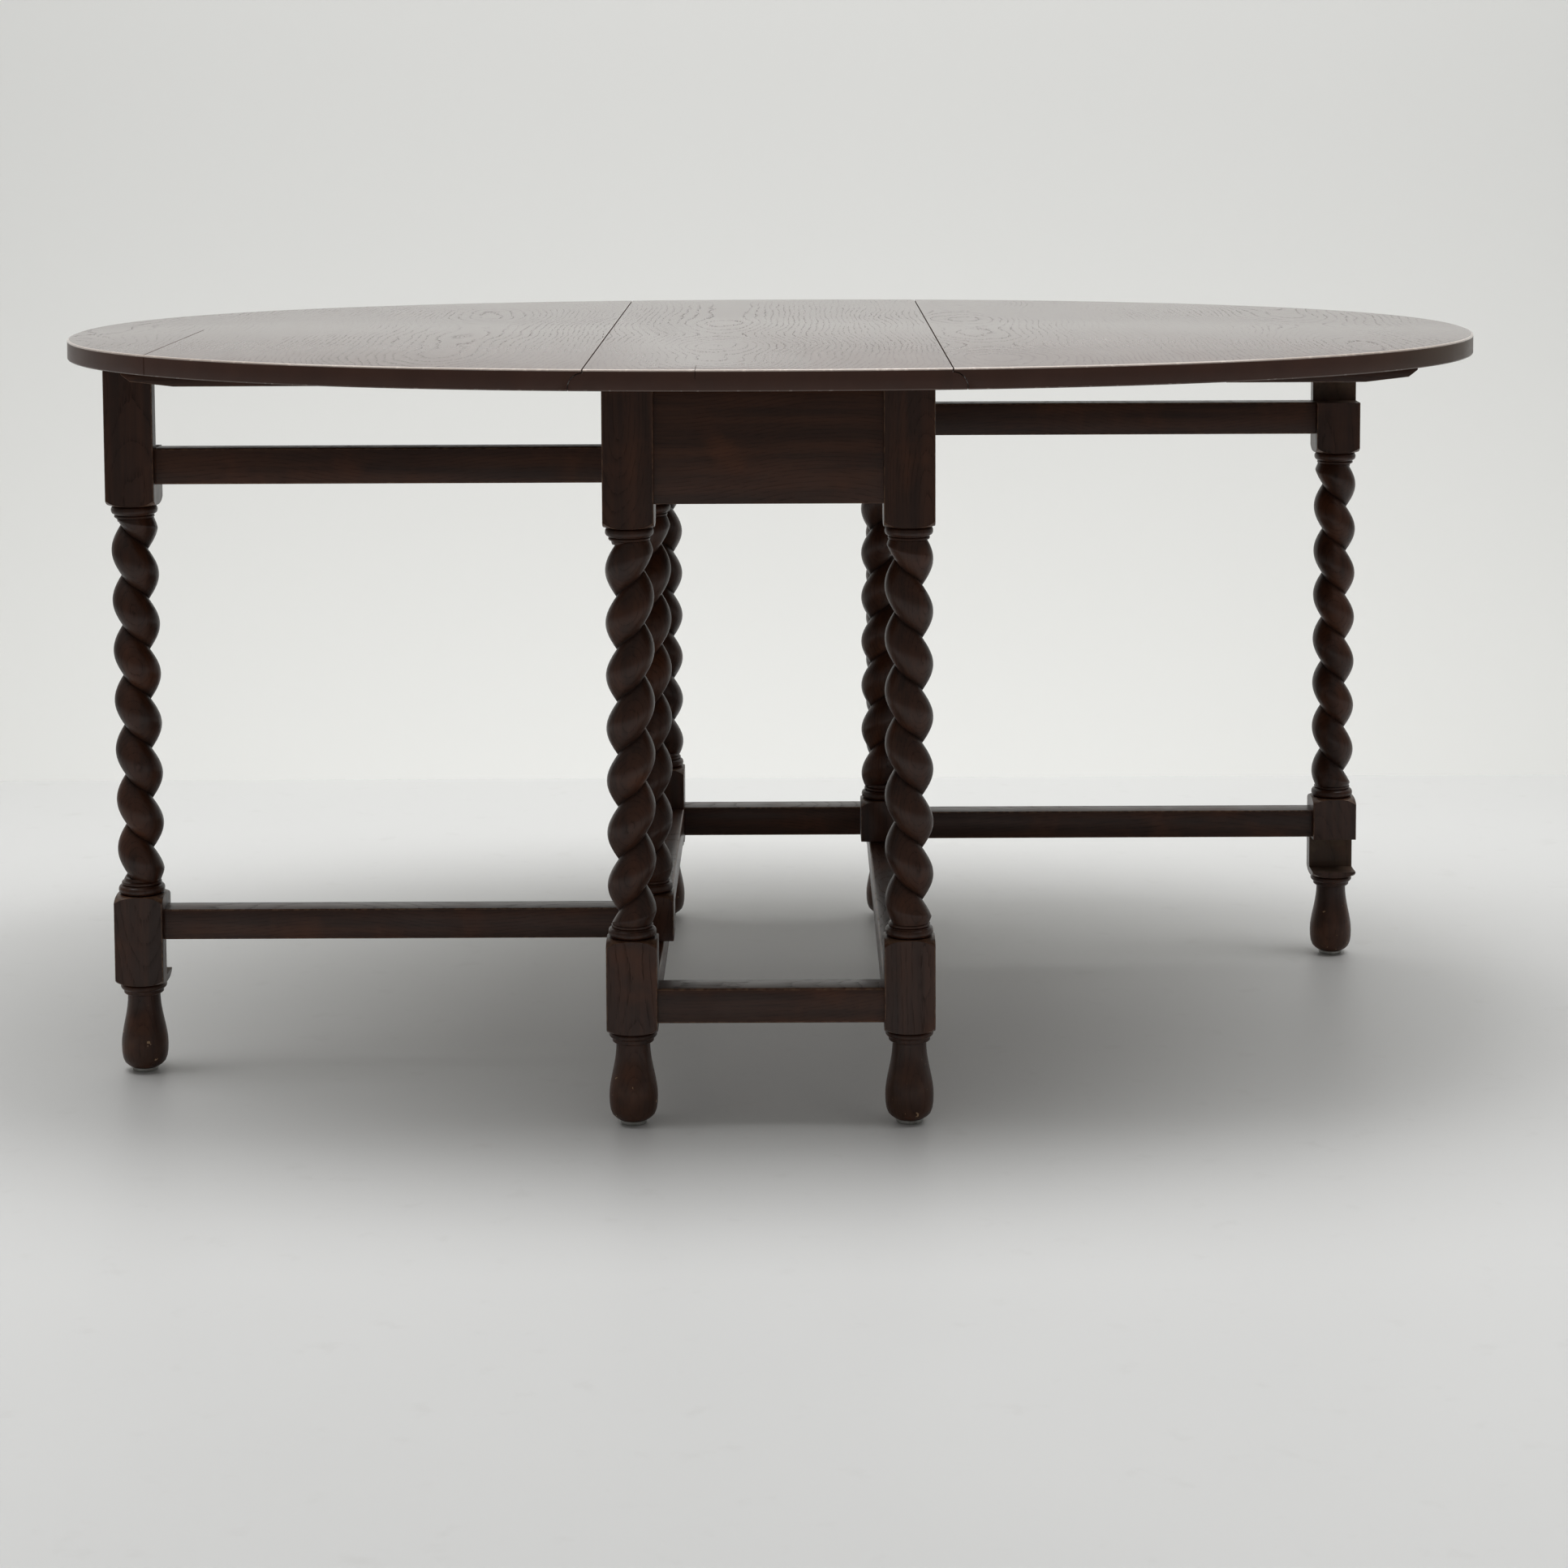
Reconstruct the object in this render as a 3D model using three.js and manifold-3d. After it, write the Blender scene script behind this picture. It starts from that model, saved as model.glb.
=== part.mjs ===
// Gateleg table with an oval top, barley-twist legs and two swinging gates.
// Millimetres, +Z up. The origin is on the floor under the middle of the top:
// X runs along the long axis of the open oval and Y along the centre board.
import * as THREE from 'three';
import { mergeVertices } from 'three/addons/utils/BufferGeometryUtils.js';
import Module from 'manifold-3d';

const wasm = await Module();
wasm.setup();

// ---------------------------------------------------------------- sizes
const FIT = 0.3;                    // glued or seated faces stay this far apart
const OVERCUT = 1;                  // a cutter runs this far past the face it opens

// top
const TOP_LENGTH = 1484;            // across the open leaves
const TOP_WIDTH = 1000;             // along the centre board
const TOP_HEIGHT = 740;
const TOP_THICKNESS = 20.5;
const OVAL_POWER = 2.2;             // a slightly full oval, 2 would be an ellipse
const OVAL_STEPS = 120;             // a multiple of four, so the oval's tips are true

// rule joint between the centre board and a leaf
const CENTRE_WIDTH = 342;           // between the shut lines, above the hinge pins
const JOINT_FILLET = 4;             // upright step at the top of the joint
const JOINT_RADIUS = 14;            // the ovolo
const JOINT_GAP = 1.4;              // between the upright steps
const COVE_GAP = 0.8;               // between the ovolo and the cove
const JOINT_STEPS = 8;

// corner legs
const LEG = 49;                     // the square blocks
const LEG_SETBACK = 13;             // a leg's outer face inside the shut line
const END_OVERHANG = 66;            // of the top beyond the outer faces of the legs
const FOOT_TOP = 92;                // the underside of the lower block
const LOWER_BLOCK_TOP = 184;
const UPPER_BLOCK_HEIGHT = 137.5;
const BLOCK_ROUNDING = 8;           // height over which a block's ends are turned
const BLOCK_BULGE = 6.5;            // how far the turning swells part of the way up that
const BLOCK_BULGE_AT = 0.4;         // as a share of the rounding
const BLOCK_TURNING_SIDES = 16;
const COLLAR_HEIGHT = 14;
const TORUS_RADIUS = 23.3;
const RING_RADIUS = 20;
const TWIST_ROOT = 12;              // radius in the groove of the twist
const TWIST_CREST = 23.4;
const TWIST_PITCH = 51;
const TWIST_SIDES = 8;
const RINGS_PER_TURN = 6;
const FOOT_SIDES = 10;
const FOOT_SWELL = 23.6;
const FOOT_NECK = 16.6;
const FOOT_BASE = 15.5;
const SWELL_HEIGHT = 31;

// radius and height of a collar, from the block's end: a small ring, then a torus
const COLLAR_PROFILE = [
  [RING_RADIUS, COLLAR_HEIGHT],
  [TORUS_RADIUS - 2, 12.5],
  [TORUS_RADIUS, 9],
  [TORUS_RADIUS - 2, 5.5],
  [RING_RADIUS, 4],
  [RING_RADIUS, 1.5],
  [RING_RADIUS - 3, 0],
];

// hand +1 is a right-handed thread, start is where its groove begins, in degrees
const TWISTS = {
  leg_front_left: { hand: 1, start: 110 },
  leg_front_right: { hand: -1, start: 142 },
  leg_back_left: { hand: -1, start: 296 },
  leg_back_right: { hand: 1, start: 267 },
  gate_leg_left: { hand: -1, start: 58 },
  gate_leg_right: { hand: -1, start: 97 },
  gate_pivot_post_left: { hand: 1, start: 289 },
  gate_pivot_post_right: { hand: 1, start: 258 },
};

// glides
const GLIDE_RADIUS = 13;
const GLIDE_HEIGHT = 4;
const NAIL_RADIUS = 1.6;
const NAIL_LENGTH = 13;
const NAIL_SIDES = 16;
const BORE_GAP = 0.5;               // around anything round that sits in a bore

// aprons
const END_APRON_DEPTH = 114;
const END_APRON_THICKNESS = 20;
const END_APRON_SETBACK = 6;        // behind the outer faces of the legs
const SIDE_APRON_DEPTH = 72;
const SIDE_APRON_THICKNESS = 26;
const TENON_THICKNESS = 9;
const TENON_SHOULDER = 7;           // cut off the top and the foot of a rail's tenon
const TENON_APART = 4;              // wood between two tenons that meet in a leg
const RAIL_SETBACK = 1;             // a side apron's inner face behind the legs' inner faces

// stretchers
const STRETCHER_FOOT = 102;
const STRETCHER_HEIGHT = 34;
const STRETCHER_THICKNESS = 34;

// gates
const PIVOT_OFFSET = 1;             // a pivot outside the middle of the side apron
const PIVOT_FROM_LEG = 182;         // along the side, from the corner leg
const GATE_LEG_INSET = 1.5;         // an open gate leg's corner inside the rim
const GATE_UPPER_RAIL_DEPTH = 36;
const GATE_UPPER_RAIL_DROP = 7.5;   // below the side apron
const GATE_LOWER_RAIL_DEPTH = 31;
const GATE_LOWER_RAIL_RISE = 2.5;   // above the side stretcher
const GATE_RAIL_THICKNESS = 30;
const PIVOT_END_GAP = 1.2;          // between a pivot post and the rail beyond its end
const PIN_RADIUS = 5;
const PIN_SIDES = 16;
const PIVOT_GAP = 0.7;              // around a pin that turns in a side rail
const PIN_IN_RAIL = 26;             // how far a pivot pin reaches into the frame
const PIN_IN_POST = 26;
const LEAF_GAP = 0.5;               // between a gate leg and the leaf that it holds up
const UPPER_TONGUE = 17;            // what the upper notch leaves of a gate leg
const LOWER_TONGUE = 20;
const LAP_GAP = 2.5;                // around a gate leg that is laid in its notches

// leaf battens
const BATTEN_WIDTH = 22;
const BATTEN_THICKNESS = 14;
const BATTEN_TAPER = 52;            // length over which the outer end thins down
const BATTEN_THINNED = 9;           // thickness before the bevelled tip
const BATTEN_BEVEL = 9;             // length of the tip
const BATTEN_TIP = 2;
const BATTEN_FROM_JOINT = 34;       // inner end of a stop batten, from the shut line
const BATTEN_INSET = 6.5;           // outer end inside the rim
const CLEAT_SWING_ROOM = 50;        // from the path of the gate leg
const STOP_GAP = 1.5;               // between a stop batten and the open gate leg

// glue blocks
const GLUE_BLOCK = 22;
const GLUE_BLOCK_LENGTH = 90;
const GLUE_BLOCK_Y = 150;

// hinges
const HINGE_Y = 300;
const HINGE_LENGTH = 62;
const HINGE_CENTRE_FLAP = 32;
const HINGE_LEAF_FLAP = 40;
const FLAP_THICKNESS = 1.5;
const KNUCKLE_RADIUS = 2.4;
const KNUCKLES = 5;
const KNUCKLE_SIDES = 10;
const KNUCKLE_GAP = 0.5;
const HINGE_PIN_RADIUS = 1.1;
const HINGE_POCKET_GAP = 0.5;
const FLAP_SWING_ROOM = 1.0;        // above a leaf flap, for the lift of the leaf

// ------------------------------------------------------- sizes worked out
const JOINT_X = CENTRE_WIDTH / 2;
const UNDERSIDE = TOP_HEIGHT - TOP_THICKNESS;
const HINGE_Z = TOP_HEIGHT - JOINT_FILLET - JOINT_RADIUS;
const FRAME_TOP = UNDERSIDE - FIT;
const HALF = LEG / 2;
const FOOT_BOTTOM = GLIDE_HEIGHT + FIT;
const LEG_X = JOINT_X - LEG_SETBACK - HALF;
const LEG_Y = rimY(LEG_X + HALF) - END_OVERHANG - HALF;
const LEG_INNER_X = LEG_X - HALF;
const LEG_INNER_Y = LEG_Y - HALF;
const TENON_LENGTH = HALF - TENON_THICKNESS / 2 - TENON_APART;
const UPPER_BLOCK_FOOT = FRAME_TOP - UPPER_BLOCK_HEIGHT;
const STRETCHER_TOP = STRETCHER_FOOT + STRETCHER_HEIGHT;
const STRETCHER_X = LEG_INNER_X + STRETCHER_THICKNESS / 2;
const SIDE_APRON_X = LEG_INNER_X + RAIL_SETBACK + SIDE_APRON_THICKNESS / 2;
const SIDE_APRON_FOOT = FRAME_TOP - SIDE_APRON_DEPTH;
const END_APRON_Y = LEG_Y + HALF - END_APRON_SETBACK - END_APRON_THICKNESS / 2;
const TWIST_FOOT = LOWER_BLOCK_TOP + COLLAR_HEIGHT;
const TWIST_TOP = UPPER_BLOCK_FOOT - COLLAR_HEIGHT;
const GATE_UPPER_RAIL_TOP = SIDE_APRON_FOOT - GATE_UPPER_RAIL_DROP;
const GATE_LOWER_RAIL_FOOT = STRETCHER_TOP + GATE_LOWER_RAIL_RISE;
const GATE_LEG_TOP = UNDERSIDE - LEAF_GAP;
const PIVOT_X = SIDE_APRON_X + PIVOT_OFFSET;
const PIVOT_Y = LEG_Y - PIVOT_FROM_LEG;
const GATE_REACH = rimX(PIVOT_Y + HALF) - GATE_LEG_INSET - HALF - PIVOT_X;
const CLOSED_LEG_Y = GATE_REACH - PIVOT_Y;
const STOP_BATTEN_Y = PIVOT_Y + HALF + STOP_GAP;

// the oval's rim at a place along the other axis
function rimX(y) {
  return TOP_LENGTH / 2 * (1 - (Math.abs(y) / (TOP_WIDTH / 2)) ** OVAL_POWER) ** (1 / OVAL_POWER);
}

function rimY(x) {
  return TOP_WIDTH / 2 * (1 - (Math.abs(x) / (TOP_LENGTH / 2)) ** OVAL_POWER) ** (1 / OVAL_POWER);
}

// -------------------------------------------------------------- materials
const oakTop = new THREE.MeshStandardMaterial({ color: 0x6b4a3a, roughness: 0.35, metalness: 0 });
const oakFrame = new THREE.MeshStandardMaterial({ color: 0x4a2a20, roughness: 0.4, metalness: 0 });
const iron = new THREE.MeshStandardMaterial({ color: 0x35322f, roughness: 0.5, metalness: 0.9 });
const nickel = new THREE.MeshStandardMaterial({ color: 0x9a9a96, roughness: 0.4, metalness: 0.8 });

const table = new THREE.Group();
const WELD = 1e-4;                  // points closer than this are one

// ---------------------------------------------------------------- helpers
function solid(geometry) {
  geometry.deleteAttribute('normal');
  geometry.deleteAttribute('uv');
  const merged = mergeVertices(geometry, WELD);
  return new wasm.Manifold(new wasm.Mesh({
    numProp: 3,
    vertProperties: new Float32Array(merged.attributes.position.array),
    triVerts: new Uint32Array(merged.index.array),
  }));
}

function addPiece(name, shape, material, parent = table) {
  const mesh = shape.getMesh();
  const geometry = new THREE.BufferGeometry();
  geometry.setAttribute('position', new THREE.BufferAttribute(mesh.vertProperties, 3));
  geometry.setIndex(new THREE.BufferAttribute(mesh.triVerts, 1));
  geometry.computeVertexNormals();
  const piece = new THREE.Mesh(geometry, material);
  piece.name = name;
  parent.add(piece);
  return piece;
}

// a box between two corners
function box([x0, y0, z0], [x1, y1, z1]) {
  const geometry = new THREE.BoxGeometry(x1 - x0, y1 - y0, z1 - z0);
  geometry.translate((x0 + x1) / 2, (y0 + y1) / 2, (z0 + z1) / 2);
  return solid(geometry);
}

// a solid of revolution about +Z from [radius, height] points, from the foot up
function turned(points, sides) {
  const profile = points.map(([radius, height]) => new THREE.Vector2(radius, height));
  return new THREE.LatheGeometry(profile, sides).rotateX(Math.PI / 2);
}

function rod(radius, z0, z1, sides) {
  return solid(turned([[0, z0], [radius, z0], [radius, z1], [0, z1]], sides));
}

// a closed outline of [u, height] points in the XZ plane, carried along Y
function profileAlongY(points, y0, y1) {
  const shape = new THREE.Shape(points.map(([u, height]) => new THREE.Vector2(u, height)));
  const geometry = new THREE.ExtrudeGeometry(shape, { depth: y1 - y0, bevelEnabled: false });
  geometry.rotateX(Math.PI / 2).translate(0, y1, 0);
  return solid(geometry);
}

// ---------------------------------------------------------------- the top
function ovalPrism() {
  const points = [];
  for (let step = 0; step < OVAL_STEPS; step += 1) {
    const angle = step * 2 * Math.PI / OVAL_STEPS;
    const c = Math.cos(angle);
    const s = Math.sin(angle);
    points.push(new THREE.Vector2(
      TOP_LENGTH / 2 * Math.sign(c) * Math.abs(c) ** (2 / OVAL_POWER),
      TOP_WIDTH / 2 * Math.sign(s) * Math.abs(s) ** (2 / OVAL_POWER),
    ));
  }
  const geometry = new THREE.ExtrudeGeometry(new THREE.Shape(points), {
    depth: TOP_THICKNESS, bevelEnabled: false,
  });
  geometry.translate(0, 0, UNDERSIDE);
  return solid(geometry);
}

// one side of the rule joint, as points from the top down
function jointCurve(stepX, radius) {
  const start = Math.acos(Math.max(0, stepX - JOINT_X) / radius);
  const points = [[stepX, TOP_HEIGHT + OVERCUT]];
  for (let step = 0; step <= JOINT_STEPS; step += 1) {
    const angle = start * (1 - step / JOINT_STEPS);
    points.push([JOINT_X + radius * Math.cos(angle), HINGE_Z + radius * Math.sin(angle)]);
  }
  points.push([JOINT_X + radius, UNDERSIDE - OVERCUT]);
  return points;
}

// room for one hinge in the underside, drawn for the right-hand joint
function hingePockets(y) {
  const gap = HINGE_POCKET_GAP;
  const y0 = y - HINGE_LENGTH / 2 - gap;
  const y1 = y + HINGE_LENGTH / 2 + gap;
  const flapTop = UNDERSIDE + FIT + FLAP_THICKNESS;
  const knuckle = KNUCKLE_RADIUS + gap;
  return {
    centre: [
      box([JOINT_X - HINGE_CENTRE_FLAP - gap, y0, UNDERSIDE - OVERCUT], [JOINT_X, y1, flapTop + gap]),
      box([JOINT_X - knuckle, y0, UNDERSIDE - OVERCUT], [JOINT_X + knuckle, y1, HINGE_Z + knuckle]),
      box([JOINT_X, y0, UNDERSIDE - OVERCUT],
        [JOINT_X + JOINT_RADIUS + OVERCUT, y1, flapTop + FLAP_SWING_ROOM]),
    ],
    leaf: [
      box([JOINT_X + JOINT_RADIUS - OVERCUT, y0, UNDERSIDE - OVERCUT],
        [JOINT_X + HINGE_LEAF_FLAP + gap, y1, flapTop + gap]),
    ],
  };
}

function centreBoard() {
  const right = jointCurve(JOINT_X, JOINT_RADIUS);
  const left = right.map(([x, z]) => [-x, z]).reverse();
  let board = ovalPrism().intersect(profileAlongY([...right, ...left], -TOP_WIDTH, TOP_WIDTH));
  for (const y of [-HINGE_Y, HINGE_Y]) {
    for (const pocket of hingePockets(y).centre) {
      board = board.subtract(pocket).subtract(pocket.rotate([0, 0, 180]));
    }
  }
  return board;
}

function leafBoard() {
  const joint = jointCurve(JOINT_X + JOINT_GAP, JOINT_RADIUS + COVE_GAP);
  const outline = [...joint, [TOP_LENGTH, UNDERSIDE - OVERCUT], [TOP_LENGTH, TOP_HEIGHT + OVERCUT]];
  let board = ovalPrism().intersect(profileAlongY(outline, -TOP_WIDTH, TOP_WIDTH));
  for (const y of [-HINGE_Y, HINGE_Y]) {
    for (const pocket of hingePockets(y).leaf) board = board.subtract(pocket);
  }
  return board;
}

// a batten along X under a leaf, thinned and bevelled at its outer end
function batten(innerX, y0) {
  const top = UNDERSIDE - FIT;
  const outerX = rimX(STOP_BATTEN_Y + BATTEN_WIDTH) - BATTEN_INSET;
  return profileAlongY([
    [innerX, top - BATTEN_THICKNESS],
    [outerX - BATTEN_TAPER, top - BATTEN_THICKNESS],
    [outerX - BATTEN_BEVEL, top - BATTEN_THINNED],
    [outerX, top - BATTEN_TIP],
    [outerX, top],
    [innerX, top],
  ], y0, y0 + BATTEN_WIDTH);
}

// Where a cleat may start, clear of the gate leg as it swings past. A short
// gate on a wide table doesn't reach the cleat's side at all, and then the
// cleat starts where the stop batten does.
function cleatInnerX() {
  const sweep = Math.hypot(GATE_REACH + HALF, HALF);
  const pathX = Math.sqrt(Math.max(0, sweep ** 2 - (PIVOT_Y + STOP_BATTEN_Y) ** 2));
  return Math.max(PIVOT_X + pathX + CLEAT_SWING_ROOM, JOINT_X + BATTEN_FROM_JOINT);
}

// -------------------------------------------------------------- the hinges
const knuckleLength = HINGE_LENGTH / KNUCKLES;

// the knuckles of one flap, as a tube with gaps, and its plate
function hingeFlap(y, first, plateX0, plateX1) {
  const y0 = y - HINGE_LENGTH / 2;
  const plateFoot = UNDERSIDE + FIT;
  let flap = box([plateX0, y0, plateFoot], [plateX1, y0 + HINGE_LENGTH, plateFoot + FLAP_THICKNESS]);
  const barrel = rod(KNUCKLE_RADIUS, 0, HINGE_LENGTH, KNUCKLE_SIDES).rotate([-90, 0, 0]);
  flap = flap.add(barrel.translate([JOINT_X, y0, HINGE_Z]));
  for (let index = 0; index < KNUCKLES; index += 1) {
    if (index % 2 === first) continue;
    const start = y0 + index * knuckleLength;
    const reach = KNUCKLE_RADIUS + KNUCKLE_GAP;
    const before = index === 0 ? OVERCUT : KNUCKLE_GAP / 2;
    const after = index === KNUCKLES - 1 ? OVERCUT : KNUCKLE_GAP / 2;
    flap = flap.subtract(box(
      [JOINT_X - reach, start - before, HINGE_Z - reach * 2],
      [JOINT_X + reach, start + knuckleLength + after, HINGE_Z + reach],
    ));
  }
  const bore = rod(HINGE_PIN_RADIUS + BORE_GAP, -OVERCUT, HINGE_LENGTH + OVERCUT, KNUCKLE_SIDES)
    .rotate([-90, 0, 0]);
  return flap.subtract(bore.translate([JOINT_X, y0, HINGE_Z]));
}

function hingePin(y) {
  const pin = rod(HINGE_PIN_RADIUS, 0, HINGE_LENGTH, KNUCKLE_SIDES).rotate([-90, 0, 0]);
  return pin.translate([JOINT_X, y - HINGE_LENGTH / 2, HINGE_Z]);
}

// ---------------------------------------------------------------- the legs
const FOOT_PROFILE = [
  [0, FOOT_BOTTOM],
  [FOOT_BASE, FOOT_BOTTOM],
  [FOOT_SWELL - 2.4, FOOT_BOTTOM + 6],
  [FOOT_SWELL, SWELL_HEIGHT - 8],
  [FOOT_SWELL - 0.5, SWELL_HEIGHT + 6],
  [FOOT_NECK + 2.6, FOOT_TOP - 38],
  [FOOT_NECK, FOOT_TOP - 21],
  [FOOT_NECK, FOOT_TOP - 11],
  [RING_RADIUS, FOOT_TOP - 9],
  [RING_RADIUS, FOOT_TOP - 6],
  [TORUS_RADIUS, FOOT_TOP - 3.5],
  [TORUS_RADIUS, FOOT_TOP + 1],
  [0, FOOT_TOP + 1],
];

// a collar from the given end of the twist, towards the block above or below
function collarPoints(z, upward) {
  const placed = COLLAR_PROFILE.map(([radius, height]) => [radius, upward ? z + height : z - height]);
  return upward ? placed.reverse() : placed;
}

// the twisted shaft with its two collars
function twistedShaft({ hand, start }) {
  const turns = (TWIST_TOP - TWIST_FOOT) / TWIST_PITCH;
  const rings = Math.round(turns * RINGS_PER_TURN);
  const shaft = [];
  for (let ring = 1; ring < rings; ring += 1) {
    shaft.push([TWIST_CREST, TWIST_FOOT + (TWIST_TOP - TWIST_FOOT) * ring / rings]);
  }
  const geometry = turned([
    [0, LOWER_BLOCK_TOP - OVERCUT],
    [RING_RADIUS, LOWER_BLOCK_TOP - OVERCUT],
    ...collarPoints(TWIST_FOOT, false),
    ...shaft,
    ...collarPoints(TWIST_TOP, true),
    [RING_RADIUS, UPPER_BLOCK_FOOT + OVERCUT],
    [0, UPPER_BLOCK_FOOT + OVERCUT],
  ], TWIST_SIDES);
  const position = geometry.attributes.position;
  for (let index = 0; index < position.count; index += 1) {
    const [x, y, z] = [position.getX(index), position.getY(index), position.getZ(index)];
    const radius = Math.hypot(x, y);
    if (z <= TWIST_FOOT + WELD || z >= TWIST_TOP - WELD || radius < WELD) continue;
    const groove = start * Math.PI / 180 + hand * 2 * Math.PI * (z - TWIST_FOOT) / TWIST_PITCH;
    const fromGroove = Math.atan2(y, x) - groove;
    const swell = (TWIST_CREST - TWIST_ROOT) * Math.abs(Math.sin(fromGroove / 2));
    const scale = (TWIST_ROOT + swell) / radius;
    position.setXY(index, x * scale, y * scale);
  }
  return solid(geometry);
}

// a square block whose marked ends are rounded off by turning
function block(z0, z1, roundFoot, roundTop) {
  const corner = HALF * Math.SQRT2 + OVERCUT;
  const rounded = [
    [0, 0],
    [HALF + FIT, 0],
    [HALF + BLOCK_BULGE, BLOCK_ROUNDING * BLOCK_BULGE_AT],
    [corner, BLOCK_ROUNDING],
  ];
  const square = [[0, -OVERCUT], [corner, -OVERCUT]];
  const foot = (roundFoot ? rounded : square).map(([radius, up]) => [radius, z0 + up]);
  const top = (roundTop ? rounded : square).map(([radius, down]) => [radius, z1 - down]);
  const turning = solid(turned([...foot, ...top.reverse()], BLOCK_TURNING_SIDES));
  return box([-HALF, -HALF, z0], [HALF, HALF, z1]).intersect(turning);
}

function footTurning() {
  const bore = rod(NAIL_RADIUS + BORE_GAP, 0, GLIDE_HEIGHT + NAIL_LENGTH + BORE_GAP, NAIL_SIDES);
  return solid(turned(FOOT_PROFILE, FOOT_SIDES)).subtract(bore);
}

// a whole leg about its own axis, from the foot to the given top
function leg(twist, top) {
  return footTurning()
    .add(block(FOOT_TOP, LOWER_BLOCK_TOP, true, true))
    .add(twistedShaft(twist))
    .add(block(UPPER_BLOCK_FOOT, top, true, false));
}

function glide() {
  return solid(turned([
    [0, 0],
    [GLIDE_RADIUS - 2, 0],
    [GLIDE_RADIUS, 1.5],
    [GLIDE_RADIUS, GLIDE_HEIGHT],
    [NAIL_RADIUS, GLIDE_HEIGHT],
    [NAIL_RADIUS, GLIDE_HEIGHT + NAIL_LENGTH - 3],
    [0, GLIDE_HEIGHT + NAIL_LENGTH],
  ], NAIL_SIDES));
}

// ---------------------------------------------------------------- the rails
// A rail along X between two faces, with a tenon at each end. Its mortise is
// the same tenon, a fit larger all round.
function railAlongX(x0, x1, y, thickness, z0, z1) {
  const body = box([x0 + FIT, y - thickness / 2, z0], [x1 - FIT, y + thickness / 2, z1]);
  return body.add(tenonsAlongX(x0, x1, y, z0, z1, 0));
}

function tenonsAlongX(x0, x1, y, z0, z1, grow) {
  return box(
    [x0 - TENON_LENGTH - grow, y - TENON_THICKNESS / 2 - grow, z0 + TENON_SHOULDER - grow],
    [x1 + TENON_LENGTH + grow, y + TENON_THICKNESS / 2 + grow, z1 - TENON_SHOULDER + grow],
  );
}

const endRails = {
  apron: [-LEG_INNER_X, LEG_INNER_X, END_APRON_Y, FRAME_TOP - END_APRON_DEPTH, FRAME_TOP],
  stretcher: [-LEG_INNER_X, LEG_INNER_X, LEG_Y, STRETCHER_FOOT, STRETCHER_TOP],
};
const sideRails = {
  apron: [-LEG_INNER_Y, LEG_INNER_Y, -SIDE_APRON_X, SIDE_APRON_FOOT, FRAME_TOP],
  stretcher: [-LEG_INNER_Y, LEG_INNER_Y, -STRETCHER_X, STRETCHER_FOOT, STRETCHER_TOP],
};

// the mortises of the whole frame, where every corner leg is bored for its rails
function frameMortises() {
  let mortises = null;
  for (const [x0, x1, y, z0, z1] of Object.values(endRails)) {
    const pair = tenonsAlongX(x0, x1, y, z0, z1, FIT);
    mortises = mortises ? mortises.add(pair) : pair;
    mortises = mortises.add(pair.rotate([0, 0, 180]));
  }
  for (const [x0, x1, y, z0, z1] of Object.values(sideRails)) {
    const pair = tenonsAlongX(x0, x1, y, z0, z1, FIT).rotate([0, 0, 90]);
    mortises = mortises.add(pair).add(pair.rotate([0, 0, 180]));
  }
  return mortises;
}

function cornerLeg(name, sideX, sideY) {
  const place = [sideX * LEG_X, sideY * LEG_Y, 0];
  const shape = leg(TWISTS[name], FRAME_TOP).subtract(frameMortises().translate(place.map((v) => -v)));
  addPiece(name, shape, oakFrame).position.set(...place);
}

// The space that a shut gate leg takes out of a side rail, on the right side.
// The leg's tongue lies outside the rail, so the rail keeps what is behind it.
function legRecess(tongue, z0, z1) {
  const back = PIVOT_X + HALF - tongue - LAP_GAP;
  return box(
    [back, -CLOSED_LEG_Y - HALF - LAP_GAP, z0 - OVERCUT],
    [back + LEG * 2, -CLOSED_LEG_Y + HALF + LAP_GAP, z1 + OVERCUT],
  );
}

function sideRail(kind, thickness, tongue, pinFrom, pinTo) {
  const [x0, x1, y, z0, z1] = sideRails[kind];
  const rail = railAlongX(x0, x1, y, thickness, z0, z1).rotate([0, 0, 90]);
  const bore = rod(PIN_RADIUS + PIVOT_GAP, pinFrom, pinTo, PIN_SIDES);
  return rail.subtract(legRecess(tongue, z0, z1)).subtract(bore.translate([PIVOT_X, PIVOT_Y, 0]));
}

// ---------------------------------------------------------------- the gates
// A gate is drawn with its pivot on the Z axis and its leg out along +X.
// It shuts by turning towards -Y, so its leg is notched on the -Y face.
const gateRails = {
  upper: [HALF, GATE_REACH - HALF, 0, GATE_UPPER_RAIL_TOP - GATE_UPPER_RAIL_DEPTH, GATE_UPPER_RAIL_TOP],
  lower: [HALF, GATE_REACH - HALF, 0, GATE_LOWER_RAIL_FOOT, GATE_LOWER_RAIL_FOOT + GATE_LOWER_RAIL_DEPTH],
};

function gateMortises() {
  const [upper, lower] = Object.values(gateRails).map((rail) => tenonsAlongX(...rail, FIT));
  return upper.add(lower);
}

function gateLeg(twist) {
  const upperNotch = box(
    [-LEG, -LEG, GATE_UPPER_RAIL_TOP],
    [LEG, HALF - UPPER_TONGUE, GATE_LEG_TOP + OVERCUT],
  );
  const lowerNotch = box(
    [-LEG, -LEG, STRETCHER_FOOT - LAP_GAP],
    [LEG, HALF - LOWER_TONGUE, STRETCHER_TOP + GATE_LOWER_RAIL_RISE / 2],
  );
  return leg(twist, GATE_LEG_TOP)
    .subtract(upperNotch)
    .subtract(lowerNotch)
    .subtract(gateMortises().translate([-GATE_REACH, 0, 0]));
}

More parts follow.
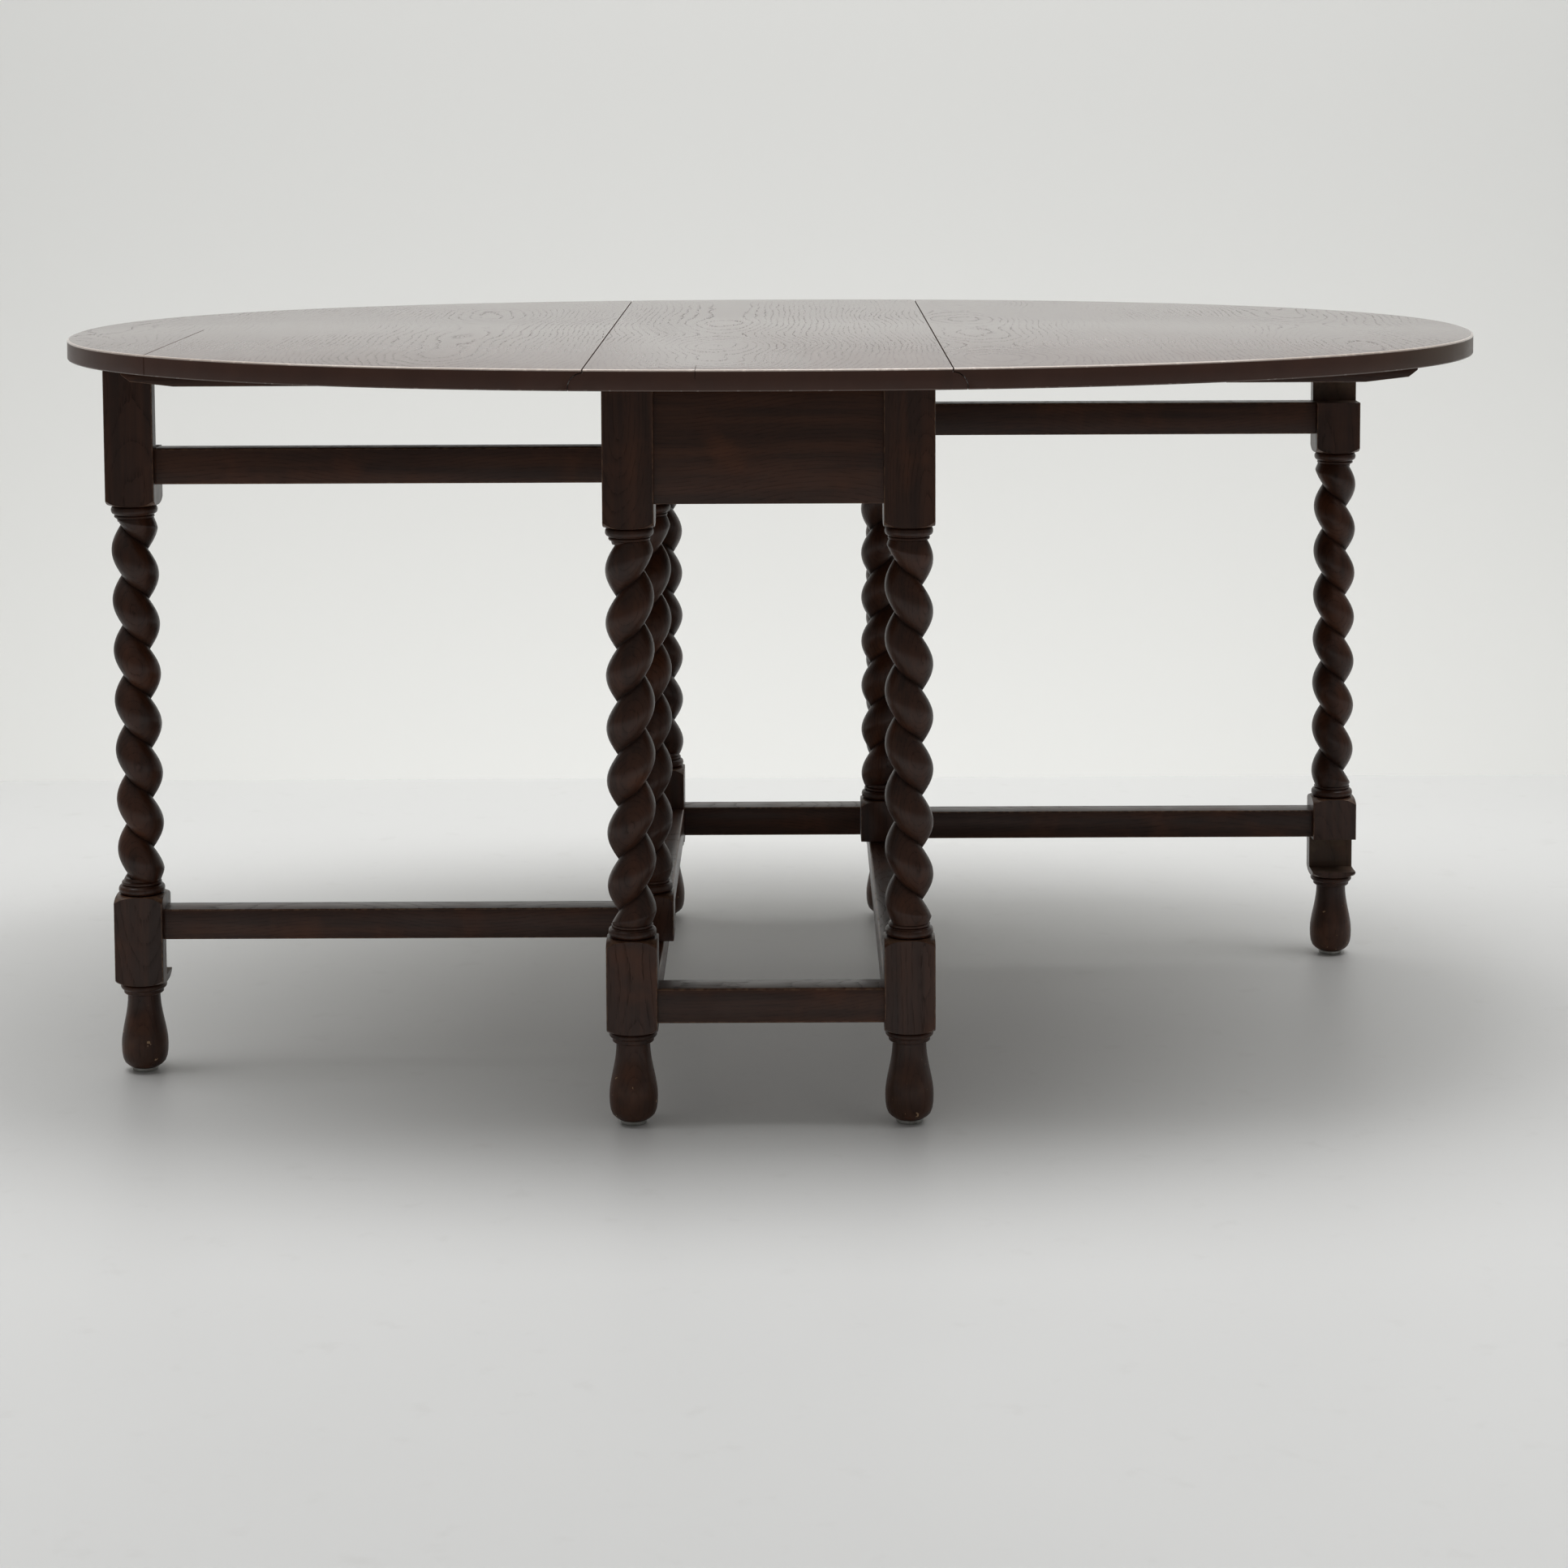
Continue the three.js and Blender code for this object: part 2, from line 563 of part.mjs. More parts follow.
const POST_FOOT = STRETCHER_TOP + PIVOT_END_GAP;
const POST_TOP = SIDE_APRON_FOOT - PIVOT_END_GAP;

function pivotPost(twist) {
  const boreRadius = PIN_RADIUS + BORE_GAP;
  const bores = [
    rod(boreRadius, POST_FOOT - OVERCUT, POST_FOOT + PIN_IN_POST + BORE_GAP, PIN_SIDES),
    rod(boreRadius, POST_TOP - PIN_IN_POST - BORE_GAP, POST_TOP + OVERCUT, PIN_SIDES),
  ];
  return block(POST_FOOT, LOWER_BLOCK_TOP, false, true)
    .add(twistedShaft(twist))
    .add(block(UPPER_BLOCK_FOOT, POST_TOP, true, false))
    .subtract(gateMortises())
    .subtract(bores[0])
    .subtract(bores[1]);
}

function pivotPin(z0, z1) {
  return rod(PIN_RADIUS, z0, z1, PIN_SIDES);
}

function addGate(side, parent) {
  const gate = new THREE.Group();
  gate.position.set(PIVOT_X, PIVOT_Y, 0);
  parent.add(gate);
  const [legName, postName] = [`gate_leg_${side}`, `gate_pivot_post_${side}`];
  addPiece(legName, gateLeg(TWISTS[legName]), oakFrame, gate).position.x = GATE_REACH;
  addPiece(postName, pivotPost(TWISTS[postName]), oakFrame, gate);
  for (const [kind, [x0, x1, y, z0, z1]] of Object.entries(gateRails)) {
    const rail = railAlongX(x0, x1, y, GATE_RAIL_THICKNESS, z0, z1);
    addPiece(`gate_${kind}_rail_${side}`, rail, oakFrame, gate);
  }
  const lowerPin = pivotPin(STRETCHER_TOP - PIN_IN_RAIL, POST_FOOT + PIN_IN_POST);
  const upperPin = pivotPin(POST_TOP - PIN_IN_POST, SIDE_APRON_FOOT + PIN_IN_RAIL);
  addPiece(`gate_lower_pivot_pin_${side}`, lowerPin, iron, gate);
  addPiece(`gate_upper_pivot_pin_${side}`, upperPin, iron, gate);
  addPiece(`glide_gate_${side}`, glide(), nickel, gate).position.x = GATE_REACH;
}

// ------------------------------------------------------------- one side
// Everything that is alike on both sides, drawn for the right and turned
// half round for the left.
function addSide(side, turn) {
  const half = new THREE.Group();
  half.rotation.z = turn;
  table.add(half);
  addPiece(`leaf_${side}`, leafBoard(), oakTop, half);
  const stop = batten(JOINT_X + BATTEN_FROM_JOINT, STOP_BATTEN_Y);
  const cleat = batten(cleatInnerX(), -STOP_BATTEN_Y - BATTEN_WIDTH);
  addPiece(`leaf_stop_batten_${side}`, stop, oakTop, half);
  addPiece(`leaf_cleat_${side}`, cleat, oakTop, half);
  const apron = sideRail('apron', SIDE_APRON_THICKNESS, UPPER_TONGUE,
    SIDE_APRON_FOOT - OVERCUT, SIDE_APRON_FOOT + PIN_IN_RAIL + BORE_GAP);
  const stretcher = sideRail('stretcher', STRETCHER_THICKNESS, LOWER_TONGUE,
    STRETCHER_TOP - PIN_IN_RAIL - BORE_GAP, STRETCHER_TOP + OVERCUT);
  addPiece(`side_apron_${side}`, apron, oakFrame, half);
  addPiece(`side_stretcher_${side}`, stretcher, oakFrame, half);
  const blockX = SIDE_APRON_X - SIDE_APRON_THICKNESS / 2 - FIT;
  for (const [end, y] of [['a', -GLUE_BLOCK_Y], ['b', GLUE_BLOCK_Y]]) {
    addPiece(`glue_block_${side}_${end}`, box(
      [blockX - GLUE_BLOCK, y - GLUE_BLOCK_LENGTH / 2, FRAME_TOP - GLUE_BLOCK],
      [blockX, y + GLUE_BLOCK_LENGTH / 2, FRAME_TOP],
    ), oakFrame, half);
  }
  for (const [end, y] of [['a', -HINGE_Y], ['b', HINGE_Y]]) {
    const centre = hingeFlap(y, 0, JOINT_X - HINGE_CENTRE_FLAP, JOINT_X);
    const outer = hingeFlap(y, 1, JOINT_X, JOINT_X + HINGE_LEAF_FLAP);
    addPiece(`hinge_${side}_${end}_centre_flap`, centre, iron, half);
    addPiece(`hinge_${side}_${end}_leaf_flap`, outer, iron, half);
    addPiece(`hinge_${side}_${end}_pin`, hingePin(y), iron, half);
  }
  addGate(side, half);
}

// ---------------------------------------------------------------- the table
addPiece('top_centre_board', centreBoard(), oakTop);
for (const [end, sideY] of [['front', -1], ['back', 1]]) {
  const [x0, x1, y, z0, z1] = endRails.apron;
  const apron = railAlongX(x0, x1, sideY * y, END_APRON_THICKNESS, z0, z1);
  addPiece(`end_apron_${end}`, apron, oakFrame);
  const [s0, s1, sy, sz0, sz1] = endRails.stretcher;
  const stretcher = railAlongX(s0, s1, sideY * sy, STRETCHER_THICKNESS, sz0, sz1);
  addPiece(`end_stretcher_${end}`, stretcher, oakFrame);
  for (const [side, sideX] of [['left', -1], ['right', 1]]) {
    cornerLeg(`leg_${end}_${side}`, sideX, sideY);
    const foot = addPiece(`glide_${end}_${side}`, glide(), nickel);
    foot.position.set(sideX * LEG_X, sideY * LEG_Y, 0);
  }
}
addSide('right', 0);
addSide('left', Math.PI);

export default table;
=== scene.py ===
"""A gateleg table in dark oak: oval top on rule joints, barley-twist legs, two gates.

Metres, +Z up. X runs along the open oval, Y along the centre board, front at -Y.
"""
import math
import random

import bpy
from mathutils import Matrix, Vector


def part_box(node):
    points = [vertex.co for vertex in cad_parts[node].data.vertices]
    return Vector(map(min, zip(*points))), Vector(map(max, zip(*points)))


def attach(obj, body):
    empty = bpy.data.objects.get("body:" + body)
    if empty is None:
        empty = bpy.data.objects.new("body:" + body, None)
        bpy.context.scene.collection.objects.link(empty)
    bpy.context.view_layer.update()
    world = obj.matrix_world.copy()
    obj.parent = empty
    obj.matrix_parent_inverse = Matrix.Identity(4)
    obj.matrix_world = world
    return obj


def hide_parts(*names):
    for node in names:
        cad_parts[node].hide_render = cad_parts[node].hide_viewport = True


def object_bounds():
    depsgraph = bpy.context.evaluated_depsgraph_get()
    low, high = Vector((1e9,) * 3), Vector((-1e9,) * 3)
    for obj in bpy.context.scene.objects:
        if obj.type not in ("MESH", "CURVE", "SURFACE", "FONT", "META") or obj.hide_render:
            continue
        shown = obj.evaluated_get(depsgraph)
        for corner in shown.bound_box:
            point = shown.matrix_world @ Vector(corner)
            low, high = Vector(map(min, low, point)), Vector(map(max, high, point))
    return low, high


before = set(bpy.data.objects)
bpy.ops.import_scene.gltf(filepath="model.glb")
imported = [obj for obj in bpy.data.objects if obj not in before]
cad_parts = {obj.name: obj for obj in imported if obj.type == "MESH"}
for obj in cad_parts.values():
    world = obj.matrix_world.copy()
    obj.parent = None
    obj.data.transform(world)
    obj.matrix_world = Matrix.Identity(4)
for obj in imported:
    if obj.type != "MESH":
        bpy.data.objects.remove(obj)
CAD_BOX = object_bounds()

MM = 0.001
SIDES = ("left", "right")
ENDS = ("front", "back")
dice = random.Random(7)


def middle(node):
    low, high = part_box(node)
    return (low + high) / 2


def side_sign(side):
    return 1 if side == "right" else -1


# ------------------------------------------------------------ sizes of the top
TOP_Z = CAD_BOX[1].z
HALF_LENGTH = CAD_BOX[1].x
HALF_WIDTH = CAD_BOX[1].y
PAST_RIM = HALF_WIDTH * 1.1
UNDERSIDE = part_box("top_centre_board")[0].z
OVAL_POWER = 2.2
OVAL_POINTS = 320
HINGE_X = middle("hinge_right_a_pin").x
HINGE_Z = middle("hinge_right_a_pin").z
OVOLO = 14 * MM
COVE = 14.8 * MM
SHUT_GAP = 1.4 * MM

# the middle of the first plank, then where each next plank starts and how far its middle lies on
SEAM_X = -612 * MM
FIRST_PLANK = -0.71
PLANK_STEPS = ((SEAM_X, 0.39), (-0.171, 0.265), (0.171, 0.275), (0.47, 0.37))
SEAM_END = 30 * MM
CRACK_X = -67 * MM
CRACK_LENGTH = 45 * MM

HINGE_PLATE = 1.5 * MM
KNUCKLE_ROOM = 1.8 * MM
BATTEN_TAPER = ((43 * MM, 9 * MM), (9 * MM, 2 * MM))
BATTEN_SCREWS_END = 60 * MM

# ------------------------------------------------------------ sizes of the legs
FOOT_BOTTOM, FRAME_TOP = (corner.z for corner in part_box("leg_front_right"))
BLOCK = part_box("leg_front_right")[1].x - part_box("leg_front_right")[0].x
HALF = BLOCK / 2
UPPER_BLOCK_HEIGHT = 137.5 * MM
UPPER_BLOCK_FOOT = FRAME_TOP - UPPER_BLOCK_HEIGHT
LOWER_BLOCK_TOP = 184 * MM
LOWER_BLOCK_FOOT = 92 * MM
COLLAR = 14 * MM
TWIST_FOOT = LOWER_BLOCK_TOP + COLLAR
TWIST_TOP = UPPER_BLOCK_FOOT - COLLAR
TWIST_PITCH = 51 * MM
TWIST_ROOT = 12 * MM
TWIST_CREST = 23.4 * MM
RING = 20 * MM
TORUS = 23.3 * MM
ARRIS = 1.1 * MM

# what a notch leaves of a gate leg's two blocks, and the room round the laps of a shut gate
UPPER_TONGUE = 17 * MM
LOWER_TONGUE = 20 * MM
LAP_GAP = 2.5 * MM
LAP_ROOM = 1.25 * MM

# each shaft's hand and where its groove starts at the foot, in degrees
TWISTS = {
    "leg_front_left": (1, 110),
    "leg_front_right": (-1, 142),
    "leg_back_left": (-1, 296),
    "leg_back_right": (1, 267),
    "gate_leg_left": (-1, 238),
    "gate_leg_right": (-1, 97),
    "gate_pivot_post_left": (1, 109),
    "gate_pivot_post_right": (1, 258),
}


# ------------------------------------------------------------ modelling helpers
def deselect():
    bpy.ops.object.select_all(action="DESELECT")


def active():
    return bpy.context.view_layer.objects.active


def pick(*pieces):
    deselect()
    for piece in pieces:
        piece.select_set(True)
    bpy.context.view_layer.objects.active = pieces[0]


def edit(piece):
    pick(piece)
    bpy.ops.object.mode_set(mode="EDIT")
    bpy.ops.mesh.select_all(action="DESELECT")


def leave_edit():
    bpy.ops.object.mode_set(mode="OBJECT")


def select_faces(piece, wanted):
    """Selects the faces for which wanted(centre, normal) holds, then edits them."""
    edit(piece)
    bpy.ops.mesh.select_mode(type="FACE")
    leave_edit()
    for face in piece.data.polygons:
        face.select = wanted(face.center, face.normal)
    bpy.ops.object.mode_set(mode="EDIT")


def select_edges(piece, wanted):
    """Selects the edges for which wanted(one end, other end) holds, then edits them."""
    edit(piece)
    bpy.ops.mesh.select_mode(type="EDGE")
    leave_edit()
    points = piece.data.vertices
    for edge in piece.data.edges:
        edge.select = wanted(points[edge.vertices[0]].co, points[edge.vertices[1]].co)
    bpy.ops.object.mode_set(mode="EDIT")


def settle(piece):
    """Puts the piece's place into its mesh."""
    pick(piece)
    bpy.ops.object.transform_apply(location=True, rotation=True, scale=True)
    return piece


def apply_modifiers(piece):
    pick(piece)
    for modifier in list(piece.modifiers):
        bpy.ops.object.modifier_apply(modifier=modifier.name)
    return piece


def carve(piece, cutter, operation="DIFFERENCE"):
    """Cuts or joins the piece with another solid, which is used up."""
    modifier = piece.modifiers.new("carve", "BOOLEAN")
    modifier.operation = operation
    modifier.object = cutter
    modifier.solver = "EXACT"
    apply_modifiers(piece)
    bpy.data.objects.remove(cutter)
    return piece


def bevel(piece, width, segments):
    modifier = piece.modifiers.new("arris", "BEVEL")
    modifier.width = width
    modifier.segments = segments
    modifier.limit_method = "ANGLE"
    modifier.angle_limit = math.radians(35)
    return apply_modifiers(piece)


def cuboid(low, high):
    deselect()
    low, high = Vector(low), Vector(high)
    bpy.ops.mesh.primitive_cube_add(size=1, location=(low + high) / 2)
    piece = active()
    piece.scale = high - low
    return settle(piece)


def cylinder(radius, start, end, sides=48):
    """A round bar between two points."""
    deselect()
    start, end = Vector(start), Vector(end)
    bpy.ops.mesh.primitive_cylinder_add(
        vertices=sides, radius=radius, depth=(end - start).length, location=(start + end) / 2
    )
    piece = active()
    piece.rotation_euler = (end - start).to_track_quat("Z", "Y").to_euler()
    return settle(piece)


def turned(points, x, y, sides=56):
    """A turning about an upright axis, from [radius, height] points, foot first."""
    deselect()
    radius, height = points[0]
    bpy.ops.mesh.primitive_circle_add(
        vertices=sides, radius=radius, fill_type="NGON", location=(x, y, height)
    )
    piece = active()
    bpy.ops.object.mode_set(mode="EDIT")
    bpy.ops.mesh.select_all(action="SELECT")
    for next_radius, next_height in points[1:]:
        bpy.ops.mesh.extrude_region_move(
            TRANSFORM_OT_translate={"value": (0, 0, next_height - height)}
        )
        grow = next_radius / radius
        bpy.ops.transform.resize(value=(grow, grow, 1), center_override=(x, y, next_height))
        radius, height = next_radius, next_height
    bpy.ops.mesh.select_all(action="SELECT")
    bpy.ops.mesh.normals_make_consistent(inside=False)
    leave_edit()
    return settle(piece)


def join(pieces):
    pick(*pieces)
    bpy.ops.object.join()
    return active()


# ------------------------------------------------------------ marks for the finish
def mark_faces(piece, mark, value_of):
    """Stores a number for each face, for the material to read."""
    layer = piece.data.attributes.new(mark, "FLOAT", "FACE")
    for face in piece.data.polygons:
        layer.data[face.index].value = value_of(face.center, face.normal)


def mark_points(piece, mark, value_of):
    layer = piece.data.attributes.new(mark, "FLOAT", "POINT")
    for point in piece.data.vertices:
        layer.data[point.index].value = value_of(point.co)


def slanted(_, normal):
    """1 on the small faces of a worn arris, 0 on the flat ones."""
    return 1.0 if max(abs(part) for part in normal) < 0.985 else 0.0


def rim_slanted(_, normal):
    """1 on the rounded arrises of the rim, 0 on its edge and on the faces of the board."""
    return 1.0 if 0.1 < abs(normal.z) < 0.985 else 0.0


def level(_, normal):
    """1 on the upper and lower faces of a board."""
    return 1.0 if abs(normal.z) >= 0.985 else 0.0


def lay_grain(piece, along):
    """Stores where each point lies in its own plank: along, across and through."""
    low = [min(point.co[axis] for point in piece.data.vertices) for axis in range(3)]
    high = [max(point.co[axis] for point in piece.data.vertices) for axis in range(3)]
    order = {"X": (0, 1, 2), "Y": (1, 0, 2), "Z": (2, 0, 1)}[along]
    start = Vector((dice.uniform(0, 9), dice.uniform(-0.02, 0.02), dice.uniform(0.01, 0.05)))
    layer = piece.data.attributes.new("grain", "FLOAT_VECTOR", "POINT")
    centre = [(low[axis] + high[axis]) / 2 for axis in range(3)]
    for point in piece.data.vertices:
        place = Vector([point.co[axis] - centre[axis] for axis in order])
        layer.data[point.index].vector = place + start


def finish_piece(piece, name, body, material, nodes=(), smooth=32):
    """Names a piece, gives it its finish and puts it on its body."""
    piece.name = name
    piece.data.name = name
    piece.data.materials.clear()
    piece.data.materials.append(material)
    pick(piece)
    bpy.ops.object.shade_smooth_by_angle(angle=math.radians(smooth))
    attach(piece, body)
    if nodes:
        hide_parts(*nodes)


# ------------------------------------------------------------ shader helpers
class Term:
    """A shader socket that takes part in arithmetic."""

    def __init__(self, shader, socket):
        self.shader = shader
        self.socket = socket

    def math(self, operation, *terms, clamp=False):
        node = self.shader.tree.nodes.new("ShaderNodeMath")
        node.operation = operation
        node.use_clamp = clamp
        for socket, term in zip(node.inputs, terms):
            self.shader.feed(socket, term)
        return Term(self.shader, node.outputs[0])

    def __add__(self, other):
        return self.math("ADD", self, other)

    def __radd__(self, other):
        return self.math("ADD", other, self)

    def __sub__(self, other):
        return self.math("SUBTRACT", self, other)

    def __rsub__(self, other):
        return self.math("SUBTRACT", other, self)

    def __mul__(self, other):
        return self.math("MULTIPLY", self, other)

    def __rmul__(self, other):
        return self.math("MULTIPLY", other, self)

    def __truediv__(self, other):
        return self.math("DIVIDE", self, other)

    def __pow__(self, other):
        return self.math("POWER", self, other)

    def above(self, edge):
        return self.math("GREATER_THAN", self, edge)

    def size(self):
        return self.math("ABSOLUTE", self)

    def fraction(self):
        return self.math("FRACT", self)

    def root(self):
        return self.math("SQRT", self)

    def clamped(self):
        return self.math("ADD", self, 0.0, clamp=True)

    def ramp(self, low, high):
        """0 up to low, 1 from high on, smooth between."""
        settings = {"interpolation_type": "SMOOTHSTEP"}
        sockets = {"Value": self, "From Min": low, "From Max": high}
        return self.shader.node("ShaderNodeMapRange", settings, sockets)


class Shader:
    """A material whose nodes are made by expressions."""

    def __init__(self, name):
        self.material = bpy.data.materials.new(name)
        self.material.use_nodes = True
        self.tree = self.material.node_tree
        self.tree.nodes.clear()

    def feed(self, socket, value):
        if isinstance(value, Term):
            self.tree.links.new(value.socket, socket)
        else:
            socket.default_value = value

    def node(self, kind, settings=None, sockets=None, output=0):
        node = self.tree.nodes.new(kind)
        for key, value in (settings or {}).items():
            setattr(node, key, value)
        for key, value in (sockets or {}).items():
            self.feed(node.inputs[key], value)
        return None if output is None else Term(self, node.outputs[output])

    def place(self):
        return self.node("ShaderNodeTexCoord", output="Object")

    def mark(self, name):
        return self.node("ShaderNodeAttribute", {"attribute_name": name}, output="Fac")

    def mark_vector(self, name):
        return self.node("ShaderNodeAttribute", {"attribute_name": name}, output="Vector")

    def parts(self, vector):
        split = self.tree.nodes.new("ShaderNodeSeparateXYZ")
        self.feed(split.inputs[0], vector)
        return [Term(self, socket) for socket in split.outputs]

    def vector(self, x, y, z):
        return self.node("ShaderNodeCombineXYZ", None, {"X": x, "Y": y, "Z": z})

    def stretched(self, vector, scale):
        sockets = {0: vector, 1: scale}
        return self.node("ShaderNodeVectorMath", {"operation": "MULTIPLY"}, sockets)

    def noise(self, vector, scale=1.0, detail=2.0, roughness=0.5):
        sockets = {"Vector": vector, "Scale": scale, "Detail": detail, "Roughness": roughness}
        return self.node("ShaderNodeTexNoise", None, sockets)

    def mix(self, share, first, second):
        """A colour between two others."""
        sockets = {"Factor": share, "A": first, "B": second}
        return self.node("ShaderNodeMix", {"data_type": "RGBA"}, sockets, "Result")

    def bump(self, height, strength, distance):
        sockets = {"Height": height, "Strength": strength, "Distance": distance}
        return self.node("ShaderNodeBump", None, sockets)

    def surface(self, colour, roughness, normal=None, one_sided=False, **fixed):
        """Ends the material; a one-sided surface can't be seen from behind."""
        node = self.tree.nodes.new("ShaderNodeBsdfPrincipled")
        self.feed(node.inputs["Base Color"], colour)
        self.feed(node.inputs["Roughness"], roughness)
        if normal:
            self.feed(node.inputs["Normal"], normal)
        for key, value in fixed.items():
            self.feed(node.inputs[key.replace("_", " ")], value)
        shown = Term(self, node.outputs[0])
        if one_sided:
            back = self.node("ShaderNodeNewGeometry", output="Backfacing")
            clear = self.node("ShaderNodeBsdfTransparent")
            shown = self.node("ShaderNodeMixShader", None, {0: back, 1: shown, 2: clear})
        self.node("ShaderNodeOutputMaterial", None, {"Surface": shown}, None)
        return self.material


# ------------------------------------------------------------ finishes
HEART_DEPTH = 35 * MM

TOP_DARK = (0.043, 0.0155, 0.0085, 1)
TOP_LIGHT = (0.070, 0.0255, 0.0140, 1)
TOP_EARLY = (0.030, 0.011, 0.007, 1)
TOP_PORE = (0.006, 0.003, 0.002, 1)
PALE_RIGHT_RIM = (0.070, 0.050, 0.026, 1)
SEAM_GLUE = (0.040, 0.014, 0.008, 1)
# pale tint of the rim's arrises: real wear, and on the upper arris mostly a painted highlight of the
# overhead light
RUBBED_RIM_AND_HIGHLIGHT = (0.58, 0.49, 0.43, 1)
UNPOLISHED = (0.085, 0.045, 0.026, 1)

LEG_DARK = (0.024, 0.0086, 0.0042, 1)
LEG_LIGHT = (0.052, 0.0180, 0.0080, 1)
RAIL_DARK = (0.029, 0.0102, 0.0048, 1)
RAIL_LIGHT = (0.062, 0.0215, 0.0092, 1)
PLAIN_DARK = (0.045, 0.024, 0.014, 1)
PLAIN_LIGHT = (0.09, 0.05, 0.03, 1)
RED_STAIN = (0.120, 0.040, 0.016, 1)
FRAME_PORE = (0.008, 0.004, 0.003, 1)
SCUFFED_FOOT = (0.12, 0.046, 0.018, 1)
NICKED = (0.32, 0.2, 0.11, 1)
WORN_ARRIS = (0.19, 0.105, 0.06, 1)
# near-black painted shade for the bottoms of the twist grooves
GROOVE_SHADE = (0.008, 0.005, 0.004, 1)
SAWN_OAK = (0.13, 0.095, 0.068, 1)


def growth(shader, along, across, through, spacing):
    """Growth rings cut by the surface, as (early wood, pores) shares.

    The heart sways sideways and rises along the plank, and each ring wanders a little.
    """
    plank = shader.vector(along, across, through)
    sway = shader.noise(shader.stretched(plank, (1.9, 8, 8)), detail=3)
    sideways = across + (sway - 0.5) * 0.06
    rise = shader.noise(shader.stretched(plank, (2.6, 0.5, 0.5)), detail=1)
    depth = through + rise * 0.13 - HEART_DEPTH
    radius = (sideways * sideways + depth * depth).root()
    wander = shader.noise(shader.stretched(plank, (11, 30, 30)), detail=4, roughness=0.62)
    turn = (radius / spacing + wander * 1.5).fraction()
    early = (1 - turn) ** 7
    dashes = shader.noise(shader.stretched(plank, (70, 900, 900)), detail=2)
    pores = dashes.ramp(0.40, 0.56) * (0.04 + 0.96 * early)
    return early, pores


def top_oak(name):
    """Polished oak of the top, whose planks run along Y."""
    shader = Shader(name)
    x, y, z = shader.parts(shader.place())
    centre = FIRST_PLANK
    for start, step in PLANK_STEPS:
        centre = centre + x.above(start) * step
    shift = centre * 7.3
    early, pores = growth(shader, y + shift, x - centre, z - TOP_Z + HEART_DEPTH, 5.4 * MM)
    flat = shader.mark("flat")
    plank = shader.vector(y + shift, x - centre, z)
    streak = shader.noise(shader.stretched(plank, (1.5, 34, 34)), detail=3)
    cloud = shader.noise(shader.place(), scale=4.5, detail=3)
    patch = 0.3 + cloud.ramp(0.42, 0.6) * 0.5
    figure = (pores * patch * flat).clamped()
    wood = shader.mix(streak, TOP_DARK, TOP_LIGHT)
    wood = shader.mix(early * flat * 0.3, wood, TOP_EARLY)
    wood = shader.mix(figure, wood, TOP_PORE)
    # the rim and its arrises are paler towards the right end
    pale_end = x.ramp(0.52, 0.74) * (1 - flat) * 0.5
    wood = shader.mix(pale_end, wood, PALE_RIGHT_RIM)
    seam = (1 - ((x - SEAM_X).size() / MM).ramp(0.45, 0.9)) * (SEAM_END - y).ramp(0, 10 * MM)
    wood = shader.mix(seam, wood, SEAM_GLUE)
    # Wear and painted highlight: the rim's arrises are mixed towards a pale colour. The upper arris
    # gets the largest share, a painted highlight that stands in for the overhead light's reflection.
    # The small base share and the chips are wear.
    worn = shader.mark("wear")
    chips = shader.noise(shader.place(), scale=160, detail=3).ramp(0.56, 0.66)
    upper = z.above(TOP_Z - 6 * MM)
    rubbed = worn * (0.10 + upper * 0.58 + chips * 0.22)
    wood = shader.mix(rubbed, wood, RUBBED_RIM_AND_HIGHLIGHT)
    scuffs = shader.noise(shader.stretched(shader.place(), (60, 9, 9)), detail=4)
    under = 1 - z.above(UNDERSIDE + 0.5 * MM)
    wood = shader.mix(under * 0.5, wood, UNPOLISHED)
    dull = figure + seam + under
    side = (1 - flat) * (1 - worn)
    roughness = 0.27 + cloud * 0.06 + scuffs * 0.08 + dull * 0.4 + side * 0.2
    height = 0 - figure * 1.0 - early * flat * 0.08 + streak * 0.12
    normal = shader.bump(height, 0.3, 0.0003)
    polish = 1.1 - dull * 1.0 - (scuffs - 0.5) * 0.3 - side * 0.85
    return shader.surface(
        wood, roughness.clamped(), normal, Coat_Weight=polish.clamped(), Coat_Roughness=0.18,
        Specular_IOR_Level=0.3,
    )


